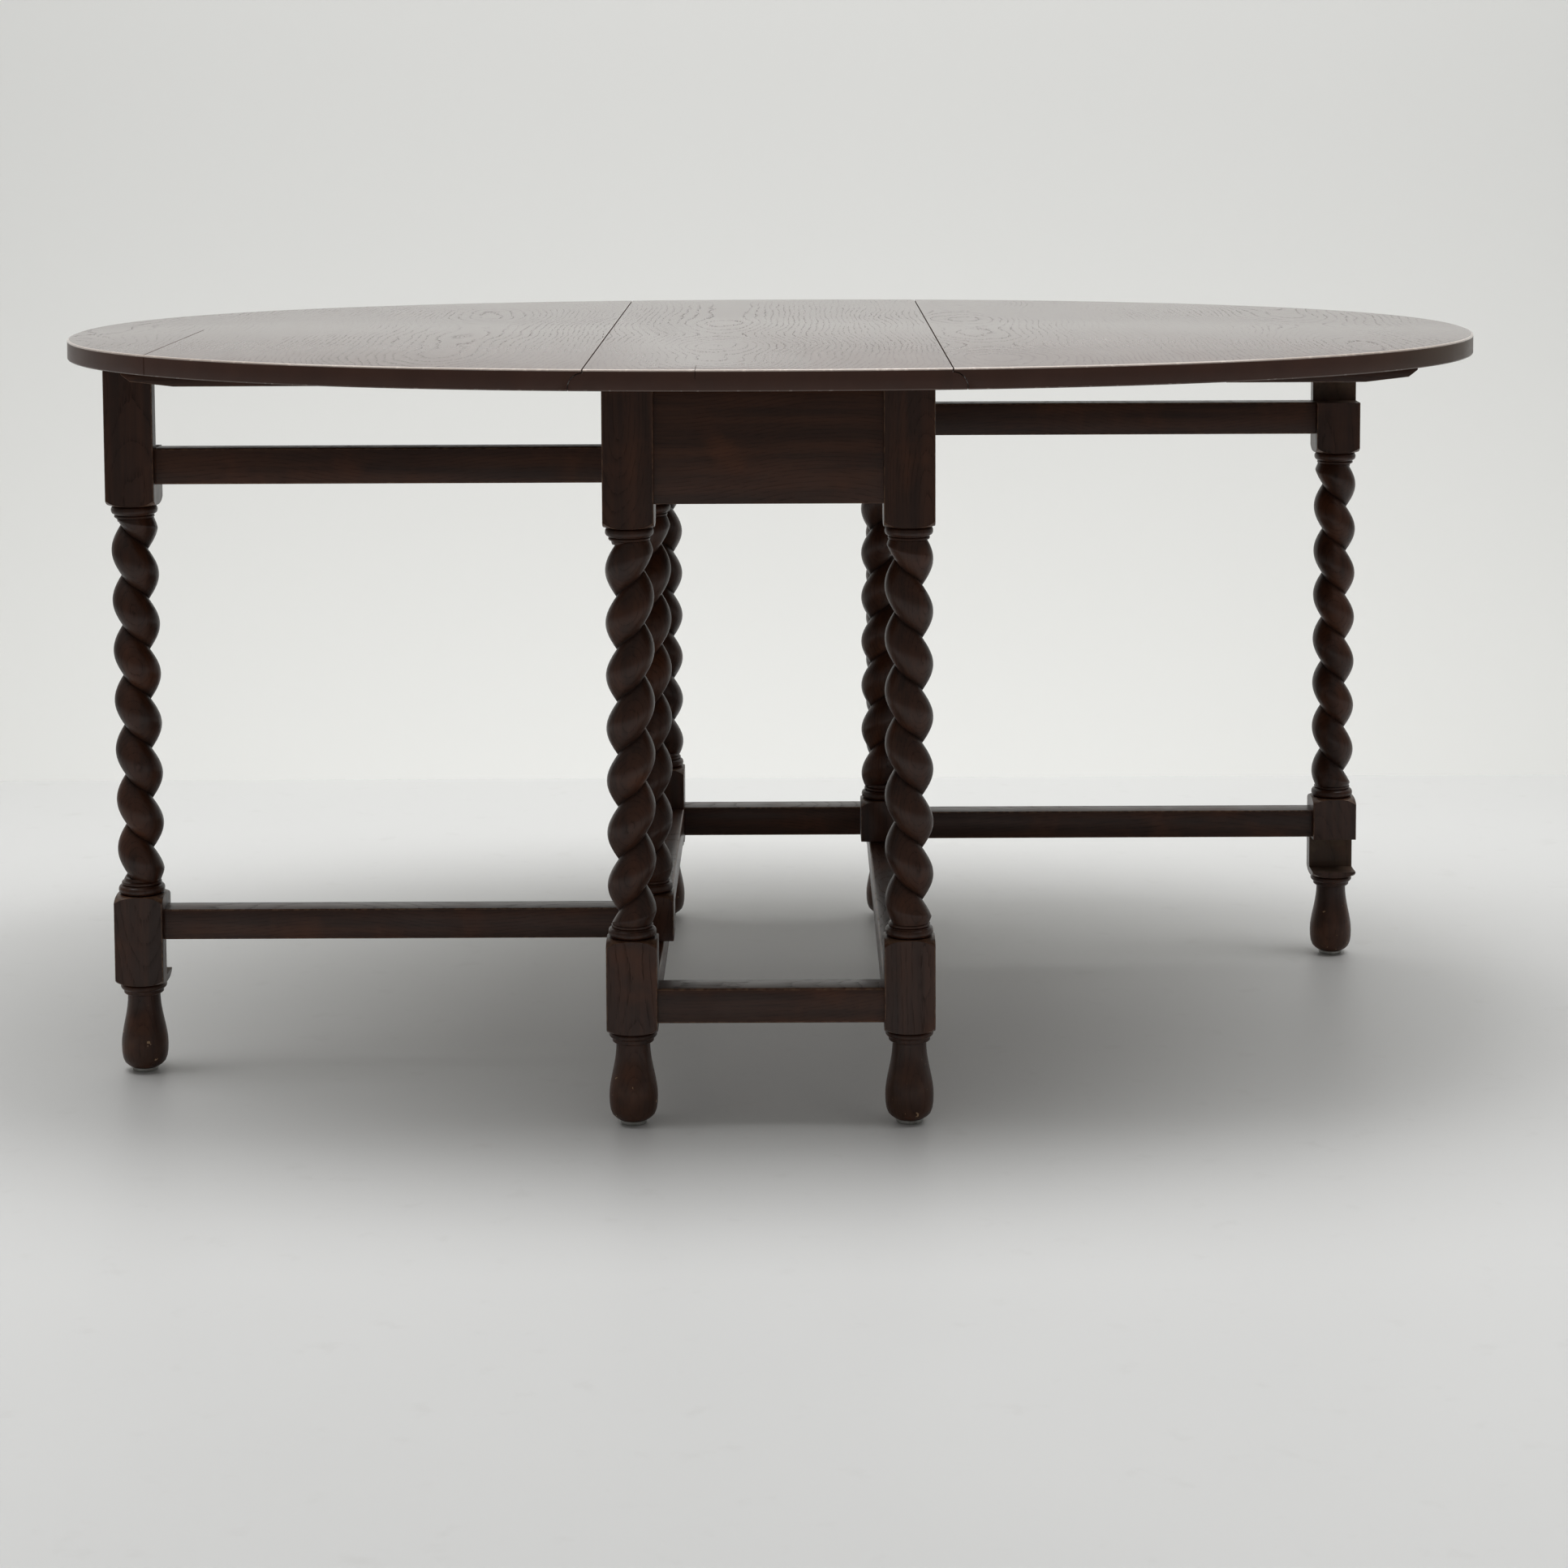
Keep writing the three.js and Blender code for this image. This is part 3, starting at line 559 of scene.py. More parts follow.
def frame_oak(name, dark, light, foot=0.0):
    """Waxed dark oak of the legs and rails, its grain along each plank."""
    shader = Shader(name)
    grain = shader.mark_vector("grain")
    along, across, through = shader.parts(grain)
    early, pores = growth(shader, along, across, through, 3.6 * MM)
    streak = shader.noise(shader.stretched(grain, (4, 75, 75)), detail=4)
    cloud = shader.noise(grain, scale=17, detail=3)
    wood = shader.mix(streak.ramp(0.3, 0.7), dark, light)
    wood = shader.mix(cloud.ramp(0.5, 0.75) * 0.4, wood, RED_STAIN)
    wood = shader.mix(early * 0.1, wood, dark)
    wood = shader.mix(pores * 0.5, wood, FRAME_PORE)
    z = shader.parts(shader.place())[2]
    scuffed = shader.noise(shader.place(), scale=55, detail=4).ramp(0.42, 0.72)
    low_down = 1 - z.ramp(0.03, 0.085)
    foot_wear = low_down * (0.3 + scuffed * 0.7) * foot
    wood = shader.mix(foot_wear * 0.3, wood, SCUFFED_FOOT)
    nicks = shader.noise(shader.place(), scale=160, detail=3)
    wood = shader.mix(nicks.ramp(0.70, 0.74) * low_down * foot, wood, NICKED)
    worn = shader.mark("wear") * (0.3 + nicks.ramp(0.4, 0.62) * 0.7)
    wood = shader.mix(worn * 0.5, wood, WORN_ARRIS)
    # Painted shade: the bottom of each twist groove is mixed towards near black, where shade falls;
    # there the surface is also rougher and less glossy.
    groove_shade = shader.mark("groove")
    wood = shader.mix(groove_shade * 0.7, wood, GROOVE_SHADE)
    raw = shader.mark("raw") * (0.55 + scuffed * 0.45)
    wood = shader.mix(raw * 0.6, wood, SAWN_OAK)
    roughness = 0.40 + cloud * 0.1 + pores * 0.3 + groove_shade * 0.3 + raw * 0.3 + worn * 0.1
    height = 0 - pores * 0.5 - early * 0.06 + streak * 0.2 + (cloud - 0.5) * 0.3
    normal = shader.bump(height, 0.3, 0.00025)
    polish = (0.36 - groove_shade * 0.3 - raw * 0.3 - pores * 0.25 - (cloud - 0.5) * 0.3).clamped()
    return shader.surface(
        wood, roughness.clamped(), normal, Coat_Weight=polish, Coat_Roughness=0.2,
        Specular_IOR_Level=0.16,
    )


def dark_iron():
    shader = Shader("dark iron")
    patch = shader.noise(shader.place(), scale=90, detail=4)
    rust = shader.noise(shader.place(), scale=38, detail=5).ramp(0.55, 0.68)
    metal = shader.mix(patch, (0.055, 0.05, 0.047, 1), (0.12, 0.108, 0.098, 1))
    metal = shader.mix(rust * 0.7, metal, (0.12, 0.045, 0.02, 1))
    roughness = 0.38 + patch * 0.2 + rust * 0.3
    normal = shader.bump(patch + rust * 0.5, 0.3, 0.0002)
    return shader.surface(metal, roughness.clamped(), normal, Metallic=0.85)


def dull_nickel():
    shader = Shader("dull nickel")
    scratch = shader.noise(shader.stretched(shader.place(), (300, 40, 300)), detail=3)
    dirt = shader.noise(shader.place(), scale=70, detail=3).ramp(0.5, 0.7)
    metal = shader.mix(scratch, (0.42, 0.42, 0.40, 1), (0.58, 0.58, 0.56, 1))
    metal = shader.mix(dirt * 0.5, metal, (0.16, 0.14, 0.12, 1))
    roughness = 0.3 + scratch * 0.15 + dirt * 0.25
    return shader.surface(metal, roughness.clamped(), shader.bump(scratch, 0.2, 0.0001), Metallic=0.9)


TOP_OAK = top_oak("polished oak top")
LEG_OAK = frame_oak("dark oak legs", LEG_DARK, LEG_LIGHT, foot=1.0)
RAIL_OAK = frame_oak("dark oak rails", RAIL_DARK, RAIL_LIGHT)
PLAIN_OAK = frame_oak("plain oak", PLAIN_DARK, PLAIN_LIGHT)
IRON = dark_iron()
NICKEL = dull_nickel()


# ------------------------------------------------------------ the top
def oval_slab():
    """The whole oval, its rim arrises rounded."""
    deselect()
    bpy.ops.mesh.primitive_circle_add(
        vertices=OVAL_POINTS, radius=1, fill_type="NGON", location=(0, 0, 0)
    )
    slab = active()
    for point in slab.data.vertices:
        angle = math.atan2(point.co.y, point.co.x)
        cos, sin = math.cos(angle), math.sin(angle)
        point.co.x = HALF_LENGTH * math.copysign(abs(cos) ** (2 / OVAL_POWER), cos)
        point.co.y = HALF_WIDTH * math.copysign(abs(sin) ** (2 / OVAL_POWER), sin)
        point.co.z = UNDERSIDE
    bpy.ops.object.mode_set(mode="EDIT")
    bpy.ops.mesh.select_all(action="SELECT")
    bpy.ops.mesh.extrude_region_move(TRANSFORM_OT_translate={"value": (0, 0, TOP_Z - UNDERSIDE)})
    bpy.ops.mesh.select_all(action="SELECT")
    bpy.ops.mesh.normals_make_consistent(inside=False)
    leave_edit()
    near = 1e-6
    select_edges(slab, lambda a, b: a.z > TOP_Z - near and b.z > TOP_Z - near)
    bpy.ops.mesh.bevel(offset=2.0 * MM, segments=4)
    leave_edit()
    select_edges(slab, lambda a, b: a.z < UNDERSIDE + near and b.z < UNDERSIDE + near)
    bpy.ops.mesh.bevel(offset=1.2 * MM, segments=2)
    leave_edit()
    return slab


def cut_hinge_rooms(board, side, flap):
    """Lets one flap of each hinge into the underside, and into the centre board the knuckles too."""
    room = 0.5 * MM
    below = UNDERSIDE - MM
    nose = HINGE_X + OVOLO + MM
    for end in "ab":
        plate_low, plate_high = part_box(f"hinge_{side}_{end}_{flap}_flap")
        plate_top = plate_low.z + HINGE_PLATE + room
        low = Vector((plate_low.x - room, plate_low.y - room, below))
        high = Vector((plate_high.x + room, plate_high.y + room, plate_top))
        carve(board, cuboid(low, high))
        if flap == "centre":
            pin_low, pin_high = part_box(f"hinge_{side}_{end}_pin")
            grow = Vector((KNUCKLE_ROOM, room, KNUCKLE_ROOM))
            pin_low, pin_high = pin_low - grow, pin_high + grow
            carve(board, cuboid((pin_low.x, pin_low.y, below), pin_high))
            leaf_low, leaf_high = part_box(f"hinge_{side}_{end}_leaf_flap")
            low.x = max(min(leaf_low.x, low.x), -nose)
            high.x = min(max(leaf_high.x, high.x), nose)
            high.z = plate_top + 0.7 * MM
            carve(board, cuboid(low, high))


def joint_rod(x, radius):
    return cylinder(radius, (x, -PAST_RIM, HINGE_Z), (x, PAST_RIM, HINGE_Z), 96)


def soften_joint(board, lines):
    """Takes the sharpness off the long edges of the rule joint."""
    near = 0.2 * MM

    def on_line(a, b):
        long_enough = abs(a.y - b.y) > 5 * MM
        return long_enough and any(
            abs(a.x - x) < near and abs(b.x - x) < near and abs(a.z - z) < near for x, z in lines
        )

    select_edges(board, on_line)
    bpy.ops.mesh.bevel(offset=0.45 * MM, segments=2)
    leave_edit()


def hairline(board, x, y_end, width, depth):
    """A narrow opening in the top face, running in from the front of the rim."""
    low = (x - width / 2, -HALF_WIDTH, TOP_Z - depth)
    high = (x + width / 2, y_end, TOP_Z + MM)
    carve(board, cuboid(low, high))


def centre_board():
    board = oval_slab()
    tall = 5 * MM
    body = cuboid((-HINGE_X, -PAST_RIM, UNDERSIDE - tall), (HINGE_X, PAST_RIM, TOP_Z + tall))
    for sign in (-1, 1):
        carve(body, joint_rod(sign * HINGE_X, OVOLO), "UNION")
    carve(board, body, "INTERSECT")
    soften_joint(board, [(sign * HINGE_X, TOP_Z) for sign in (-1, 1)])
    for side in SIDES:
        cut_hinge_rooms(board, side, "centre")
    hairline(board, CRACK_X, -HALF_WIDTH + CRACK_LENGTH, 0.5 * MM, 9 * MM)
    mark_faces(board, "wear", rim_slanted)
    mark_faces(board, "flat", level)
    finish_piece(board, "board_centre", "frame", TOP_OAK, ["top_centre_board"], 28)


def leaf_board(side):
    sign = side_sign(side)
    board = oval_slab()
    tall = 5 * MM
    edge = sign * (HINGE_X + SHUT_GAP)
    xs = sorted([edge, sign * HALF_LENGTH * 1.1])
    half = cuboid((xs[0], -PAST_RIM, UNDERSIDE - tall), (xs[1], PAST_RIM, TOP_Z + tall))
    carve(board, half, "INTERSECT")
    carve(board, joint_rod(sign * HINGE_X, COVE))
    soften_joint(board, [(edge, TOP_Z)])
    cut_hinge_rooms(board, side, "leaf")
    if side == "left":
        hairline(board, SEAM_X, SEAM_END, 0.45 * MM, 0.5 * MM)
    mark_faces(board, "wear", rim_slanted)
    mark_faces(board, "flat", level)
    finish_piece(board, f"board_{side}", f"leaf_{side}", TOP_OAK, [f"leaf_{side}"], 28)


def batten(node, name, side):
    """A batten under a leaf: thinned towards its outer end, then bevelled."""
    low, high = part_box(node)
    sign = side_sign(side)
    inner, outer = (low.x, high.x) if sign > 0 else (high.x, low.x)
    x = outer - sign * sum(run for run, _ in BATTEN_TAPER)
    xs = sorted([inner, x])
    bar = cuboid((xs[0], low.y, low.z), (xs[1], high.y, high.z))
    thick = high.z - low.z
    select_faces(bar, lambda _, normal: normal.x * sign > 0.9)
    for run, thin in BATTEN_TAPER:
        bpy.ops.mesh.extrude_region_move(TRANSFORM_OT_translate={"value": (sign * run, 0, 0)})
        x += sign * run
        bpy.ops.transform.resize(
            value=(1, 1, thin / thick), center_override=(x, (low.y + high.y) / 2, high.z)
        )
        thick = thin
    leave_edit()
    bevel(bar, 0.8 * MM, 2)
    mark_faces(bar, "wear", slanted)
    lay_grain(bar, "X")
    finish_piece(bar, name, f"leaf_{side}", RAIL_OAK, [node])


# ------------------------------------------------------------ turnings
def arc(z0, z1, inner, outer, steps=8):
    """Points of a half-round bead between two heights."""
    points = []
    for step in range(steps + 1):
        angle = math.pi * step / steps
        height = z0 + (z1 - z0) * (1 - math.cos(angle)) / 2
        points.append((inner + (outer - inner) * math.sin(angle), height))
    return points


def collar(block_end, up):
    """Torus and small ring between a block and the twist, foot first."""
    sign = 1 if up else -1

    def at(height):
        return block_end + sign * height

    points = [(RING - 1.5 * MM, at(-1.5 * MM)), (RING, at(0))]
    points += arc(at(0.6 * MM), at(8.6 * MM), RING + 0.8 * MM, TORUS)
    points += [(RING + 0.3 * MM, at(9.3 * MM))]
    points += arc(at(9.6 * MM), at(12.8 * MM), RING - 1.3 * MM, RING + 0.2 * MM, 5)
    points += [(RING - 2.6 * MM, at(13.6 * MM)), (RING - 3.2 * MM, at(16.5 * MM))]
    points += [(TWIST_ROOT - 2 * MM, at(17.5 * MM))]
    return points if up else points[::-1]


def foot_points():
    """The vase-shaped foot with its ring under the block, foot first."""
    bottom = FOOT_BOTTOM
    points = [(14.2 * MM, bottom), (15.2 * MM, bottom + 0.6 * MM)]
    swell = [
        (17.6, 6.5), (20.6, 9.5), (22.4, 14), (23.3, 20), (23.55, 27), (23.3, 33), (22.5, 39),
        (21.2, 46), (19.7, 53), (18.3, 60), (17.2, 67), (16.6, 73), (16.4, 78), (16.4, 80.2),
    ]
    points += [(radius * MM, height * MM) for radius, height in swell]
    points += [(19.0 * MM, 80.7 * MM), (20.0 * MM, 81.6 * MM), (20.2 * MM, 85.0 * MM)]
    points += arc(85.4 * MM, 91.6 * MM, 20.6 * MM, TORUS, 6)
    points += [(RING, LOWER_BLOCK_FOOT), (RING - MM, LOWER_BLOCK_FOOT + 1.5 * MM)]
    return points


def twist_section(start):
    """A round section with one groove, as the rope of a barley twist has."""
    deselect()
    bpy.ops.mesh.primitive_circle_add(vertices=72, radius=TWIST_CREST, fill_type="NOTHING")
    section = active()
    for point in section.data.vertices:
        angle = math.atan2(point.co.y, point.co.x)
        swell = abs(math.sin((angle - math.radians(start)) / 2))
        radius = TWIST_ROOT + (TWIST_CREST - TWIST_ROOT) * swell ** 0.92
        point.co.x = radius * math.cos(angle)
        point.co.y = radius * math.sin(angle)
    return section


def twist(node, x, y):
    """A twisted shaft, whose ends run a little way into the collars and shrink to fit them."""
    hand, start = TWISTS[node]
    overlap = MM
    foot = TWIST_FOOT - overlap
    length = TWIST_TOP + overlap - foot
    turns = length / TWIST_PITCH
    shaft = twist_section(start - hand * 360 * overlap / TWIST_PITCH)
    screw = shaft.modifiers.new("twist", "SCREW")
    screw.axis = "Z"
    screw.angle = hand * turns * 2 * math.pi
    screw.screw_offset = length
    screw.steps = round(turns * 34)
    screw.render_steps = screw.steps
    apply_modifiers(shaft)
    shaft.location = (x, y, foot)
    settle(shaft)
    reach = 15 * MM
    narrow = RING - 0.6 * MM
    for point in shaft.data.vertices:
        end = min(point.co.z - foot, foot + length - point.co.z)
        share = min(1, max(0, end) / reach)
        limit = narrow + (TWIST_CREST - narrow) * math.sin(math.pi / 2 * share)
        flat = Vector((point.co.x - x, point.co.y - y))
        if flat.length > limit:
            flat *= limit / flat.length
            point.co.x, point.co.y = x + flat.x, y + flat.y
    edit(shaft)
    bpy.ops.mesh.select_mode(type="VERT")
    bpy.ops.mesh.select_non_manifold()
    bpy.ops.mesh.edge_face_add()
    bpy.ops.mesh.select_all(action="SELECT")
    bpy.ops.mesh.normals_make_consistent(inside=False)
    leave_edit()

    # 1 at the bottom of the groove, 0 from 3.6 mm out: where the legs' material paints shade
    def groove_shade(place):
        radius = math.hypot(place.x - x, place.y - y)
        return max(0.0, 1 - (radius - TWIST_ROOT) / (3.6 * MM)) ** 1.4

    mark_points(shaft, "groove", groove_shade)
    return shaft


def block(x, y, z0, z1, round_foot, round_top):
    """A square block whose ends are rounded by turning."""
    cube = cuboid((x - HALF, y - HALF, z0), (x + HALF, y + HALF, z1))
    select_edges(cube, lambda a, b: abs(a.z - b.z) > MM)
    bpy.ops.mesh.bevel(offset=ARRIS, segments=2)
    leave_edit()
    corner = HALF * math.sqrt(2) + MM
    rounding = 8 * MM
    ends = [
        (HALF - 1.2 * MM, 0), (HALF + 1.5 * MM, 0.7 * MM), (HALF + 4.6 * MM, 2.0 * MM),
        (HALF + 7.5 * MM, 4.2 * MM), (corner, rounding),
    ]
    square = [(corner, -MM)]
    foot = [(radius, z0 + up) for radius, up in (ends if round_foot else square)]
    top = [(radius, z1 - down) for radius, down in (ends if round_top else square)]
    carve(cube, turned(foot + top[::-1], x, y, 72), "INTERSECT")
    mark_faces(cube, "wear", slanted)
    return cube


def shaft_parts(node, lower_foot, round_foot):
    """Lower block, collar, twist, collar and upper block, foot first."""
    x, y, _ = middle(node)
    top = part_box(node)[1].z
    return [
        block(x, y, lower_foot, LOWER_BLOCK_TOP, round_foot, True),
        turned(collar(LOWER_BLOCK_TOP, True), x, y),
        twist(node, x, y),
        turned(collar(UPPER_BLOCK_FOOT, False), x, y),
        block(x, y, UPPER_BLOCK_FOOT, top, True, False),
    ]


def cut_notches(node, side, lower_block, upper_block):
    """Cuts and marks a gate leg's notches, which clear the side stretcher and the side apron."""
    sign = side_sign(side)
    near = 0.15 * MM
    x, y, _ = middle(node)
    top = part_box(node)[1].z
    rail_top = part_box(f"gate_upper_rail_{side}")[1].z
    stretcher_low, stretcher_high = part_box("side_stretcher_right")
    for part, z0, z1, tongue in (
        (lower_block, stretcher_low.z - LAP_GAP, stretcher_high.z + LAP_ROOM, LOWER_TONGUE),
        (upper_block, rail_top, top + MM, UPPER_TONGUE),
    ):
        back = y + sign * (HALF - tongue)
        ys = sorted([y - sign * BLOCK, back])
        carve(part, cuboid((x - BLOCK, ys[0], z0), (x + BLOCK, ys[1], z1)))

        def sawn(at, _):
            on_cut = abs(at.y - back) < near or min(abs(at.z - z0), abs(at.z - z1)) < near
            return 1.0 if on_cut and z0 - near < at.z < min(z1, top - MM) + near else 0.0

        mark_faces(part, "raw", sawn)


def leg(node, name, body, gate_side=None):
    x, y, _ = middle(node)
    parts = [turned(foot_points(), x, y)] + shaft_parts(node, LOWER_BLOCK_FOOT, True)
    if gate_side:
        cut_notches(node, gate_side, parts[1], parts[-1])
    whole = join(parts)
    lay_grain(whole, "Z")
    finish_piece(whole, name, body, LEG_OAK, [node], 34)


def pivot_post(side):
    node = f"gate_pivot_post_{side}"
    whole = join(shaft_parts(node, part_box(node)[0].z, False))
    lay_grain(whole, "Z")
    finish_piece(whole, f"pivot_post_{side}", f"gate_{side}", LEG_OAK, [node], 34)


def glide(node, body):
    """A disc with a rounded edge, and its nail, which runs up into the foot."""
    x, y, _ = middle(node)
    nail_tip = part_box(node)[1].z
    points = [
        (11.2 * MM, 0), (12.6 * MM, 0.35 * MM), (13.0 * MM, 1.3 * MM), (13.0 * MM, 3.4 * MM),
        (12.6 * MM, 3.95 * MM), (1.6 * MM, 4.0 * MM), (1.6 * MM, 14 * MM), (0.3 * MM, nail_tip),
    ]
    disc = turned(points, x, y, 40)
    finish_piece(disc, node.replace("glide", "foot_glide"), body, NICKEL, [node])


# ------------------------------------------------------------ rails
def rail(node, along, start, end, arris):
    """A rail between two shoulders, with rubbed arrises."""
    low, high = (Vector(corner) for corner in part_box(node))
    axis = "XY".index(along)
    low[axis], high[axis] = start, end
    bar = cuboid(low, high)
    select_edges(bar, lambda a, b: abs(a[axis] - b[axis]) > 10 * MM)
    bpy.ops.mesh.bevel(offset=arris, segments=3)
    leave_edit()
    return bar


def end_rails(end):
    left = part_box(f"leg_{end}_left")[1].x
    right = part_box(f"leg_{end}_right")[0].x
    for kind, arris in (("apron", 0.7 * MM), ("stretcher", 1.8 * MM)):
        node = f"end_{kind}_{end}"
        bar = rail(node, "X", left, right, arris)
        mark_faces(bar, "wear", slanted)
        lay_grain(bar, "X")
        finish_piece(bar, f"{kind}_{end}", "frame", RAIL_OAK, [node])


def side_rails(side):
    """A side apron and stretcher, each recessed where the shut gate leg lies."""
    sign = side_sign(side)
    pivot = middle(f"gate_pivot_post_{side}")
    reach = abs(middle(f"gate_leg_{side}").x - pivot.x)
    shut_y = pivot.y - sign * reach
    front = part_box(f"leg_front_{side}")[1].y
    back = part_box(f"leg_back_{side}")[0].y
    half = HALF + LAP_GAP
    for kind, height, tongue, arris in (
        ("apron", "upper", UPPER_TONGUE, 0.8 * MM), ("stretcher", "lower", LOWER_TONGUE, 1.8 * MM)
    ):
        node = f"side_{kind}_{side}"
        bar = rail(node, "Y", front, back, arris)
        low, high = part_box(node)
        wall = pivot.x + sign * (HALF - tongue - LAP_GAP)
        xs = sorted([wall, wall + sign * BLOCK * 2])
        carve(bar, cuboid((xs[0], shut_y - half, low.z - MM), (xs[1], shut_y + half, high.z + MM)))
        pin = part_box(f"gate_{height}_pivot_pin_{side}")
        ends = (low.z - MM, pin[1].z + MM) if kind == "apron" else (pin[0].z - MM, high.z + MM)
        carve(bar, cylinder(5.7 * MM, (pivot.x, pivot.y, ends[0]), (pivot.x, pivot.y, ends[1])))

        def rubbed(at, normal):
            return slanted(at, normal) if abs(at.y - pivot.y) > 8 * MM else 0.0

        def sawn(at, normal):
            in_lap = abs(at.y - shut_y) < half + 0.1 * MM and (at.x - wall) * sign > -0.1 * MM
            return 1.0 if in_lap and abs(normal.z) < 0.5 else 0.0

        mark_faces(bar, "wear", rubbed)
        mark_faces(bar, "raw", sawn)
        lay_grain(bar, "Y")
        finish_piece(bar, f"{kind}_{side}", "frame", RAIL_OAK, [node])


def gate_rails(side):
    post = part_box(f"gate_pivot_post_{side}")
    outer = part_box(f"gate_leg_{side}")
    start, end = (post[1].x, outer[0].x) if side == "right" else (outer[1].x, post[0].x)
    for kind in ("upper", "lower"):
        node = f"gate_{kind}_rail_{side}"
        bar = rail(node, "X", start, end, 1.4 * MM)
        mark_faces(bar, "wear", slanted)
        lay_grain(bar, "X")
        finish_piece(bar, f"gate_rail_{kind}_{side}", f"gate_{side}", RAIL_OAK, [node])


def glue_blocks(side):
    sign = side_sign(side)
    for end in "ab":
        node = f"glue_block_{side}_{end}"
        low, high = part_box(node)
        bar = cuboid(low, high)
        inner = low.x if sign > 0 else high.x
        near = 0.1 * MM

        def inner_lower(a, b):
            long_enough = abs(a.y - b.y) > 10 * MM
            return long_enough and abs(a.x - inner) < near and abs(a.z - low.z) < near

        select_edges(bar, inner_lower)
        bpy.ops.mesh.bevel(offset=11 * MM, segments=1)
        leave_edit()
        bevel(bar, 0.5 * MM, 1)
        lay_grain(bar, "Y")
        finish_piece(bar, f"corner_block_{side}_{end}", "frame", PLAIN_OAK, [node])


# ------------------------------------------------------------ ironwork
def screw_head(x, y, z, turn, radius=3.6 * MM):
    """A slotted countersunk screw, seen from below, its head flush at z."""
    shank = radius * 0.45
    points = [(radius, z - 0.25 * MM), (radius, z), (shank, z + 2.0 * MM), (radius * 0.42, z + 5 * MM)]
    head = turned(points, x, y, 28)
    reach, half_slot = radius * 1.2, 0.4 * MM
    slot = cuboid((x - reach, y - half_slot, z - MM), (x + reach, y + half_slot, z + 0.7 * MM))
    cos, sin = math.cos(math.radians(turn)), math.sin(math.radians(turn))
    for point in slot.data.vertices:
        dx, dy = point.co.x - x, point.co.y - y
        point.co.x = x + dx * cos - dy * sin
        point.co.y = y + dx * sin + dy * cos
    return carve(head, slot)


def hinge_screws(side):
    for end in "ab":
        for flap, body in (("centre", "frame"), ("leaf", f"leaf_{side}")):
            node = f"hinge_{side}_{end}_{flap}_flap"
            low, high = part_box(node)
            furthest = min if flap == "centre" else max
            plate_end = furthest(HINGE_X, abs(low.x), abs(high.x))
            reach = (plate_end - HINGE_X) * 0.62
            heads = []
            for share, out in ((0.16, 0.9), (0.5, 1.25), (0.84, 0.9)):
                x = side_sign(side) * (HINGE_X + reach * out)
                y = low.y + (high.y - low.y) * share
                heads.append(screw_head(x, y, low.z, dice.uniform(0, 180)))
            whole = join(heads)
            finish_piece(whole, f"screws_{flap}_{side}_{end}", body, IRON)


def batten_screws(node, name, side):
    low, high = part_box(node)
    sign = side_sign(side)
    inner, outer = (low.x, high.x) if sign > 0 else (high.x, low.x)
    span = outer - sign * BATTEN_SCREWS_END - inner
    y = (low.y + high.y) / 2
    z = low.z - 0.05 * MM
    heads = []
    for share in (0.12, 0.5, 0.88):
        heads.append(screw_head(inner + span * share, y, z, dice.uniform(0, 180), 3.2 * MM))
    finish_piece(join(heads), name, f"leaf_{side}", IRON)


def iron_nodes():
    """Gives the hinges and pivot pins, which stay as they are, their finish."""
    for name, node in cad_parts.items():
        if name.startswith("hinge_") or "pivot_pin" in name:
            node.data.materials.clear()
            node.data.materials.append(IRON)


# ------------------------------------------------------------ the stage
def floor_finish():
    shader = Shader("pale studio floor")
    place = shader.place()
    cloud = shader.noise(place, scale=0.9, detail=4)
    speck = shader.noise(place, scale=24, detail=5)
    pale = shader.mix(cloud, (0.595, 0.598, 0.592, 1), (0.655, 0.658, 0.652, 1))
    pale = shader.mix(speck.ramp(0.6, 0.75) * 0.12, pale, (0.42, 0.41, 0.39, 1))
    return shader.surface(pale, 0.42 + cloud * 0.12, one_sided=True, Specular_IOR_Level=0.5)


def wall_finish():
    """A pale backdrop that glows: painted light, brighter towards the floor and the middle."""
    shader = Shader("pale backdrop")
    x, _, z = shader.parts(shader.place())
    # painted light: the wall's glow is brightest near the floor and in the middle, dimmer higher up
    # and towards its ends
    glow = shader.mix(z.ramp(0, 1.2), (0.46, 0.46, 0.445, 1), (0.25, 0.25, 0.244, 1))
    glow = shader.mix((x * x * 0.16).clamped(), glow, (0.1, 0.1, 0.097, 1))
    return shader.surface(
        (0.5, 0.503, 0.49, 1), 0.9, one_sided=True, Emission_Color=glow, Emission_Strength=1.0
    )


def stage_plane(name, place, tilt, width, length, finish):
    deselect()
    bpy.ops.mesh.primitive_plane_add(size=1, location=place, rotation=(tilt, 0, 0))
    piece = active()
    piece.scale = (width, length, 1)
    settle(piece)
    piece.name = name
    piece.data.materials.append(finish)
    return piece


def stage():
    floor = stage_plane("studio_floor", (0, 0, 0), 0, 16, 16, floor_finish())
    wall = stage_plane("studio_wall", (0, 1.2, 2.5), math.pi / 2, 10, 5, wall_finish())


def soft_light(name, place, target, size, power):
    data = bpy.data.lights.new(name, "AREA")
    data.shape = "RECTANGLE"
    data.size, data.size_y = size
    data.energy = power
    light = bpy.data.objects.new(name, data)
    bpy.context.scene.collection.objects.link(light)
    light.location = place
    aim = Vector(target) - Vector(place)
    light.rotation_euler = aim.to_track_quat("-Z", "Y").to_euler()


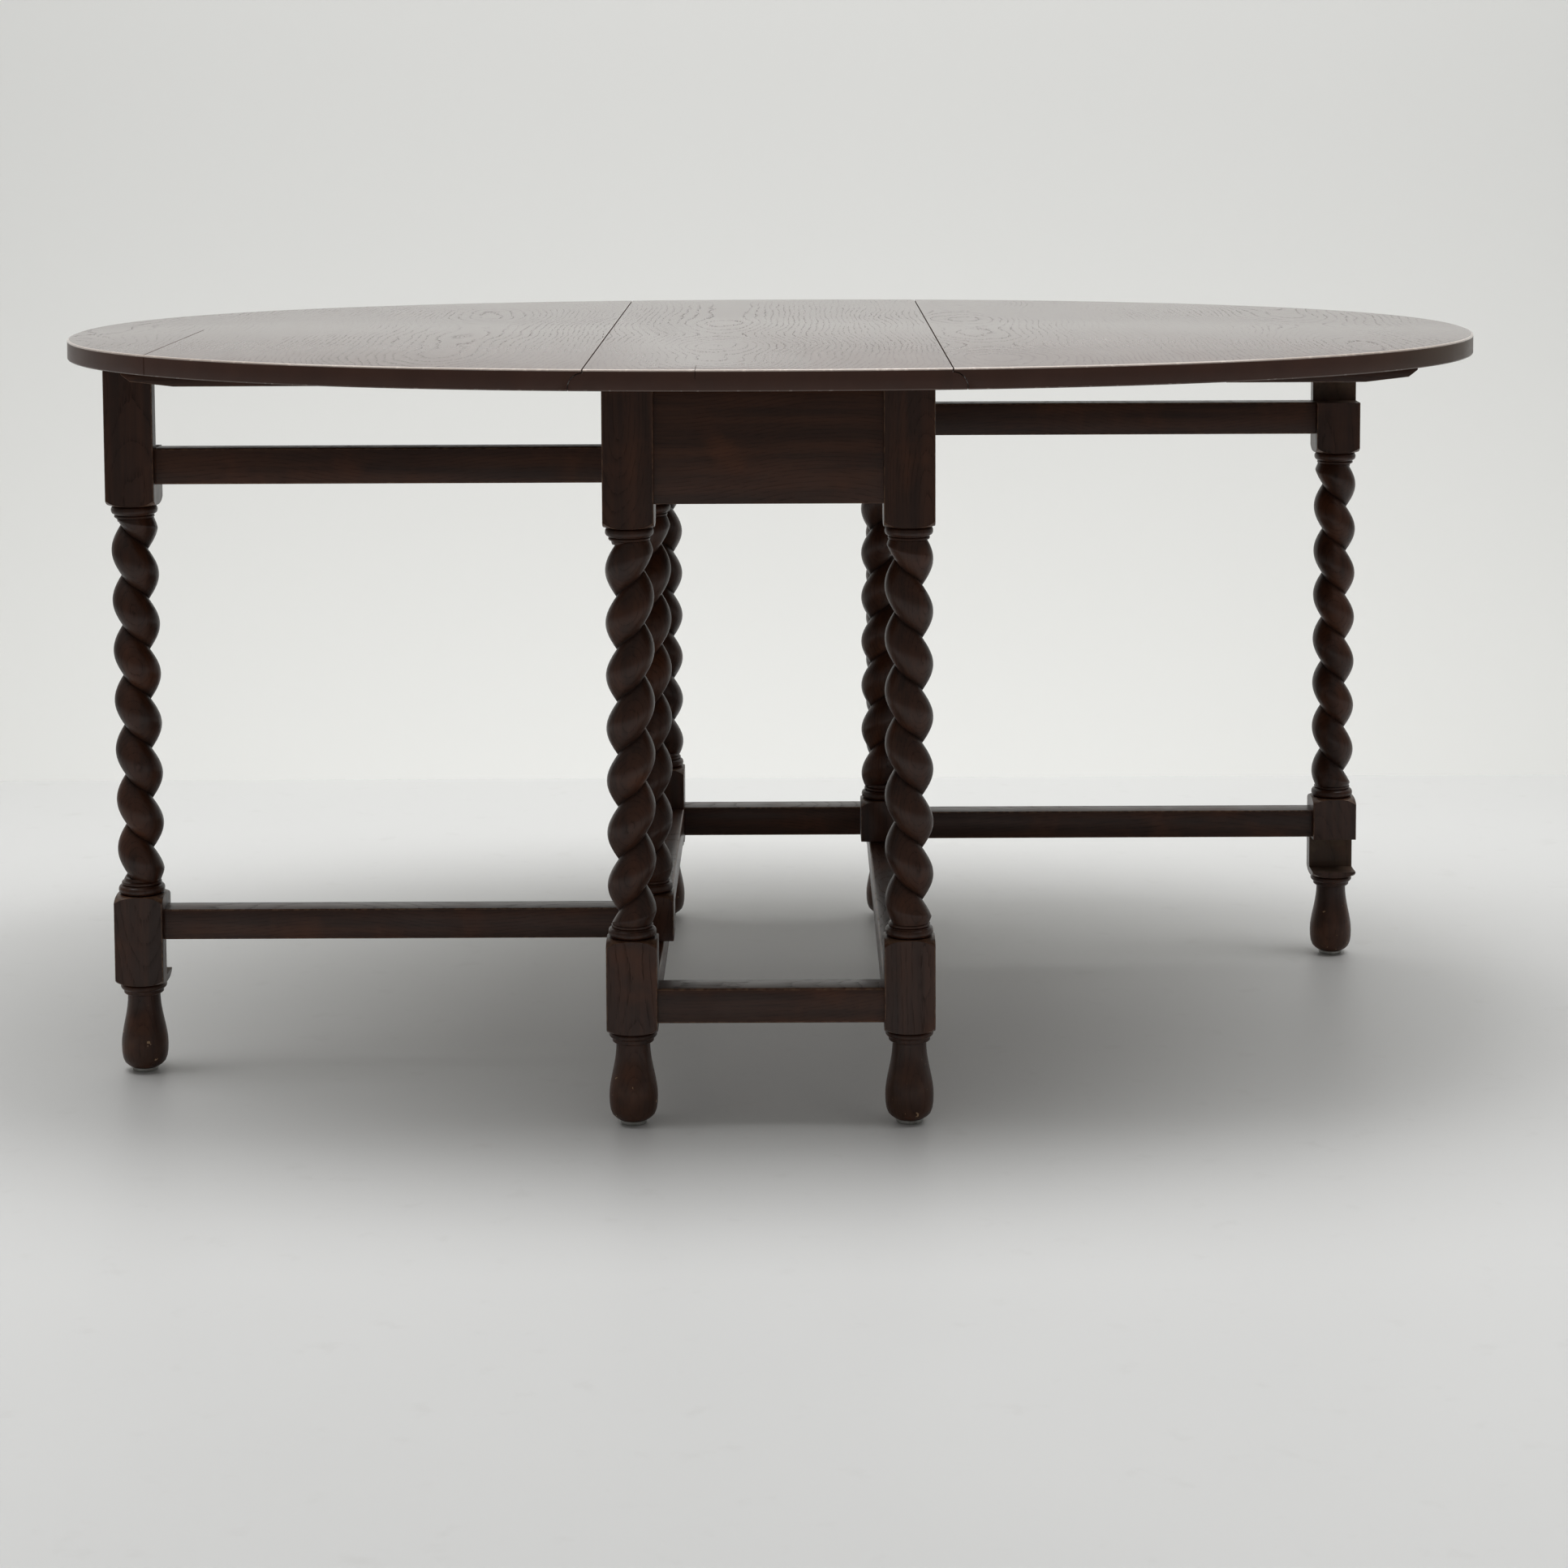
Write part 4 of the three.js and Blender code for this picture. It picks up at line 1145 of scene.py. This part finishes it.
def lights():
    world = bpy.data.worlds.new("studio")
    world.use_nodes = True
    sky = world.node_tree.nodes["Background"]
    sky.inputs["Color"].default_value = (1.0, 0.985, 0.96, 1)
    sky.inputs["Strength"].default_value = 0.22
    bpy.context.scene.world = world
    soft_light("overhead softbox", (0, -0.08, 3.3), (0, -0.08, 0), (4.8, 1.5), 118)
    soft_light("overhead lamp", (0.4, -0.15, 3.2), (0.1, -0.1, 0), (0.8, 0.6), 14)


def camera():
    """A long lens a little above the top, level with the middle of the table."""
    data = bpy.data.cameras.new("camera")
    data.sensor_width = 36
    data.lens = 76.2522
    data.shift_x = -0.007091
    data.shift_y = -0.267029
    eye = bpy.data.objects.new("camera", data)
    bpy.context.scene.collection.objects.link(eye)
    yaw, pitch, roll = -0.00084, 0.0842, -0.00386
    level_share = math.cos(pitch)
    forward = Vector((-math.sin(yaw) * level_share, math.cos(yaw) * level_share, -math.sin(pitch)))
    right = forward.cross(Vector((0, 0, 1))).normalized()
    up = right.cross(forward)
    rolled_right = right * math.cos(roll) + up * math.sin(roll)
    rolled_up = up * math.cos(roll) - right * math.sin(roll)
    turn = Matrix((rolled_right, rolled_up, -forward)).transposed().to_4x4()
    place = (0.02287, -3.54797, 1.00097)
    eye.matrix_world = Matrix.Translation(place) @ turn
    bpy.context.scene.camera = eye
    bpy.context.scene.view_settings.view_transform = "Standard"


# ------------------------------------------------------------ the whole table
centre_board()
for end in ENDS:
    end_rails(end)
    for side in SIDES:
        leg(f"leg_{end}_{side}", f"corner_leg_{end}_{side}", "frame")
        glide(f"glide_{end}_{side}", "frame")
for side in SIDES:
    leaf_board(side)
    batten(f"leaf_stop_batten_{side}", f"stop_batten_{side}", side)
    batten(f"leaf_cleat_{side}", f"cleat_{side}", side)
    batten_screws(f"leaf_stop_batten_{side}", f"screws_batten_{side}", side)
    batten_screws(f"leaf_cleat_{side}", f"screws_cleat_{side}", side)
    side_rails(side)
    glue_blocks(side)
    leg(f"gate_leg_{side}", f"swing_leg_{side}", f"gate_{side}", side)
    pivot_post(side)
    gate_rails(side)
    glide(f"glide_gate_{side}", f"gate_{side}")
    hinge_screws(side)
iron_nodes()
stage()
lights()
camera()
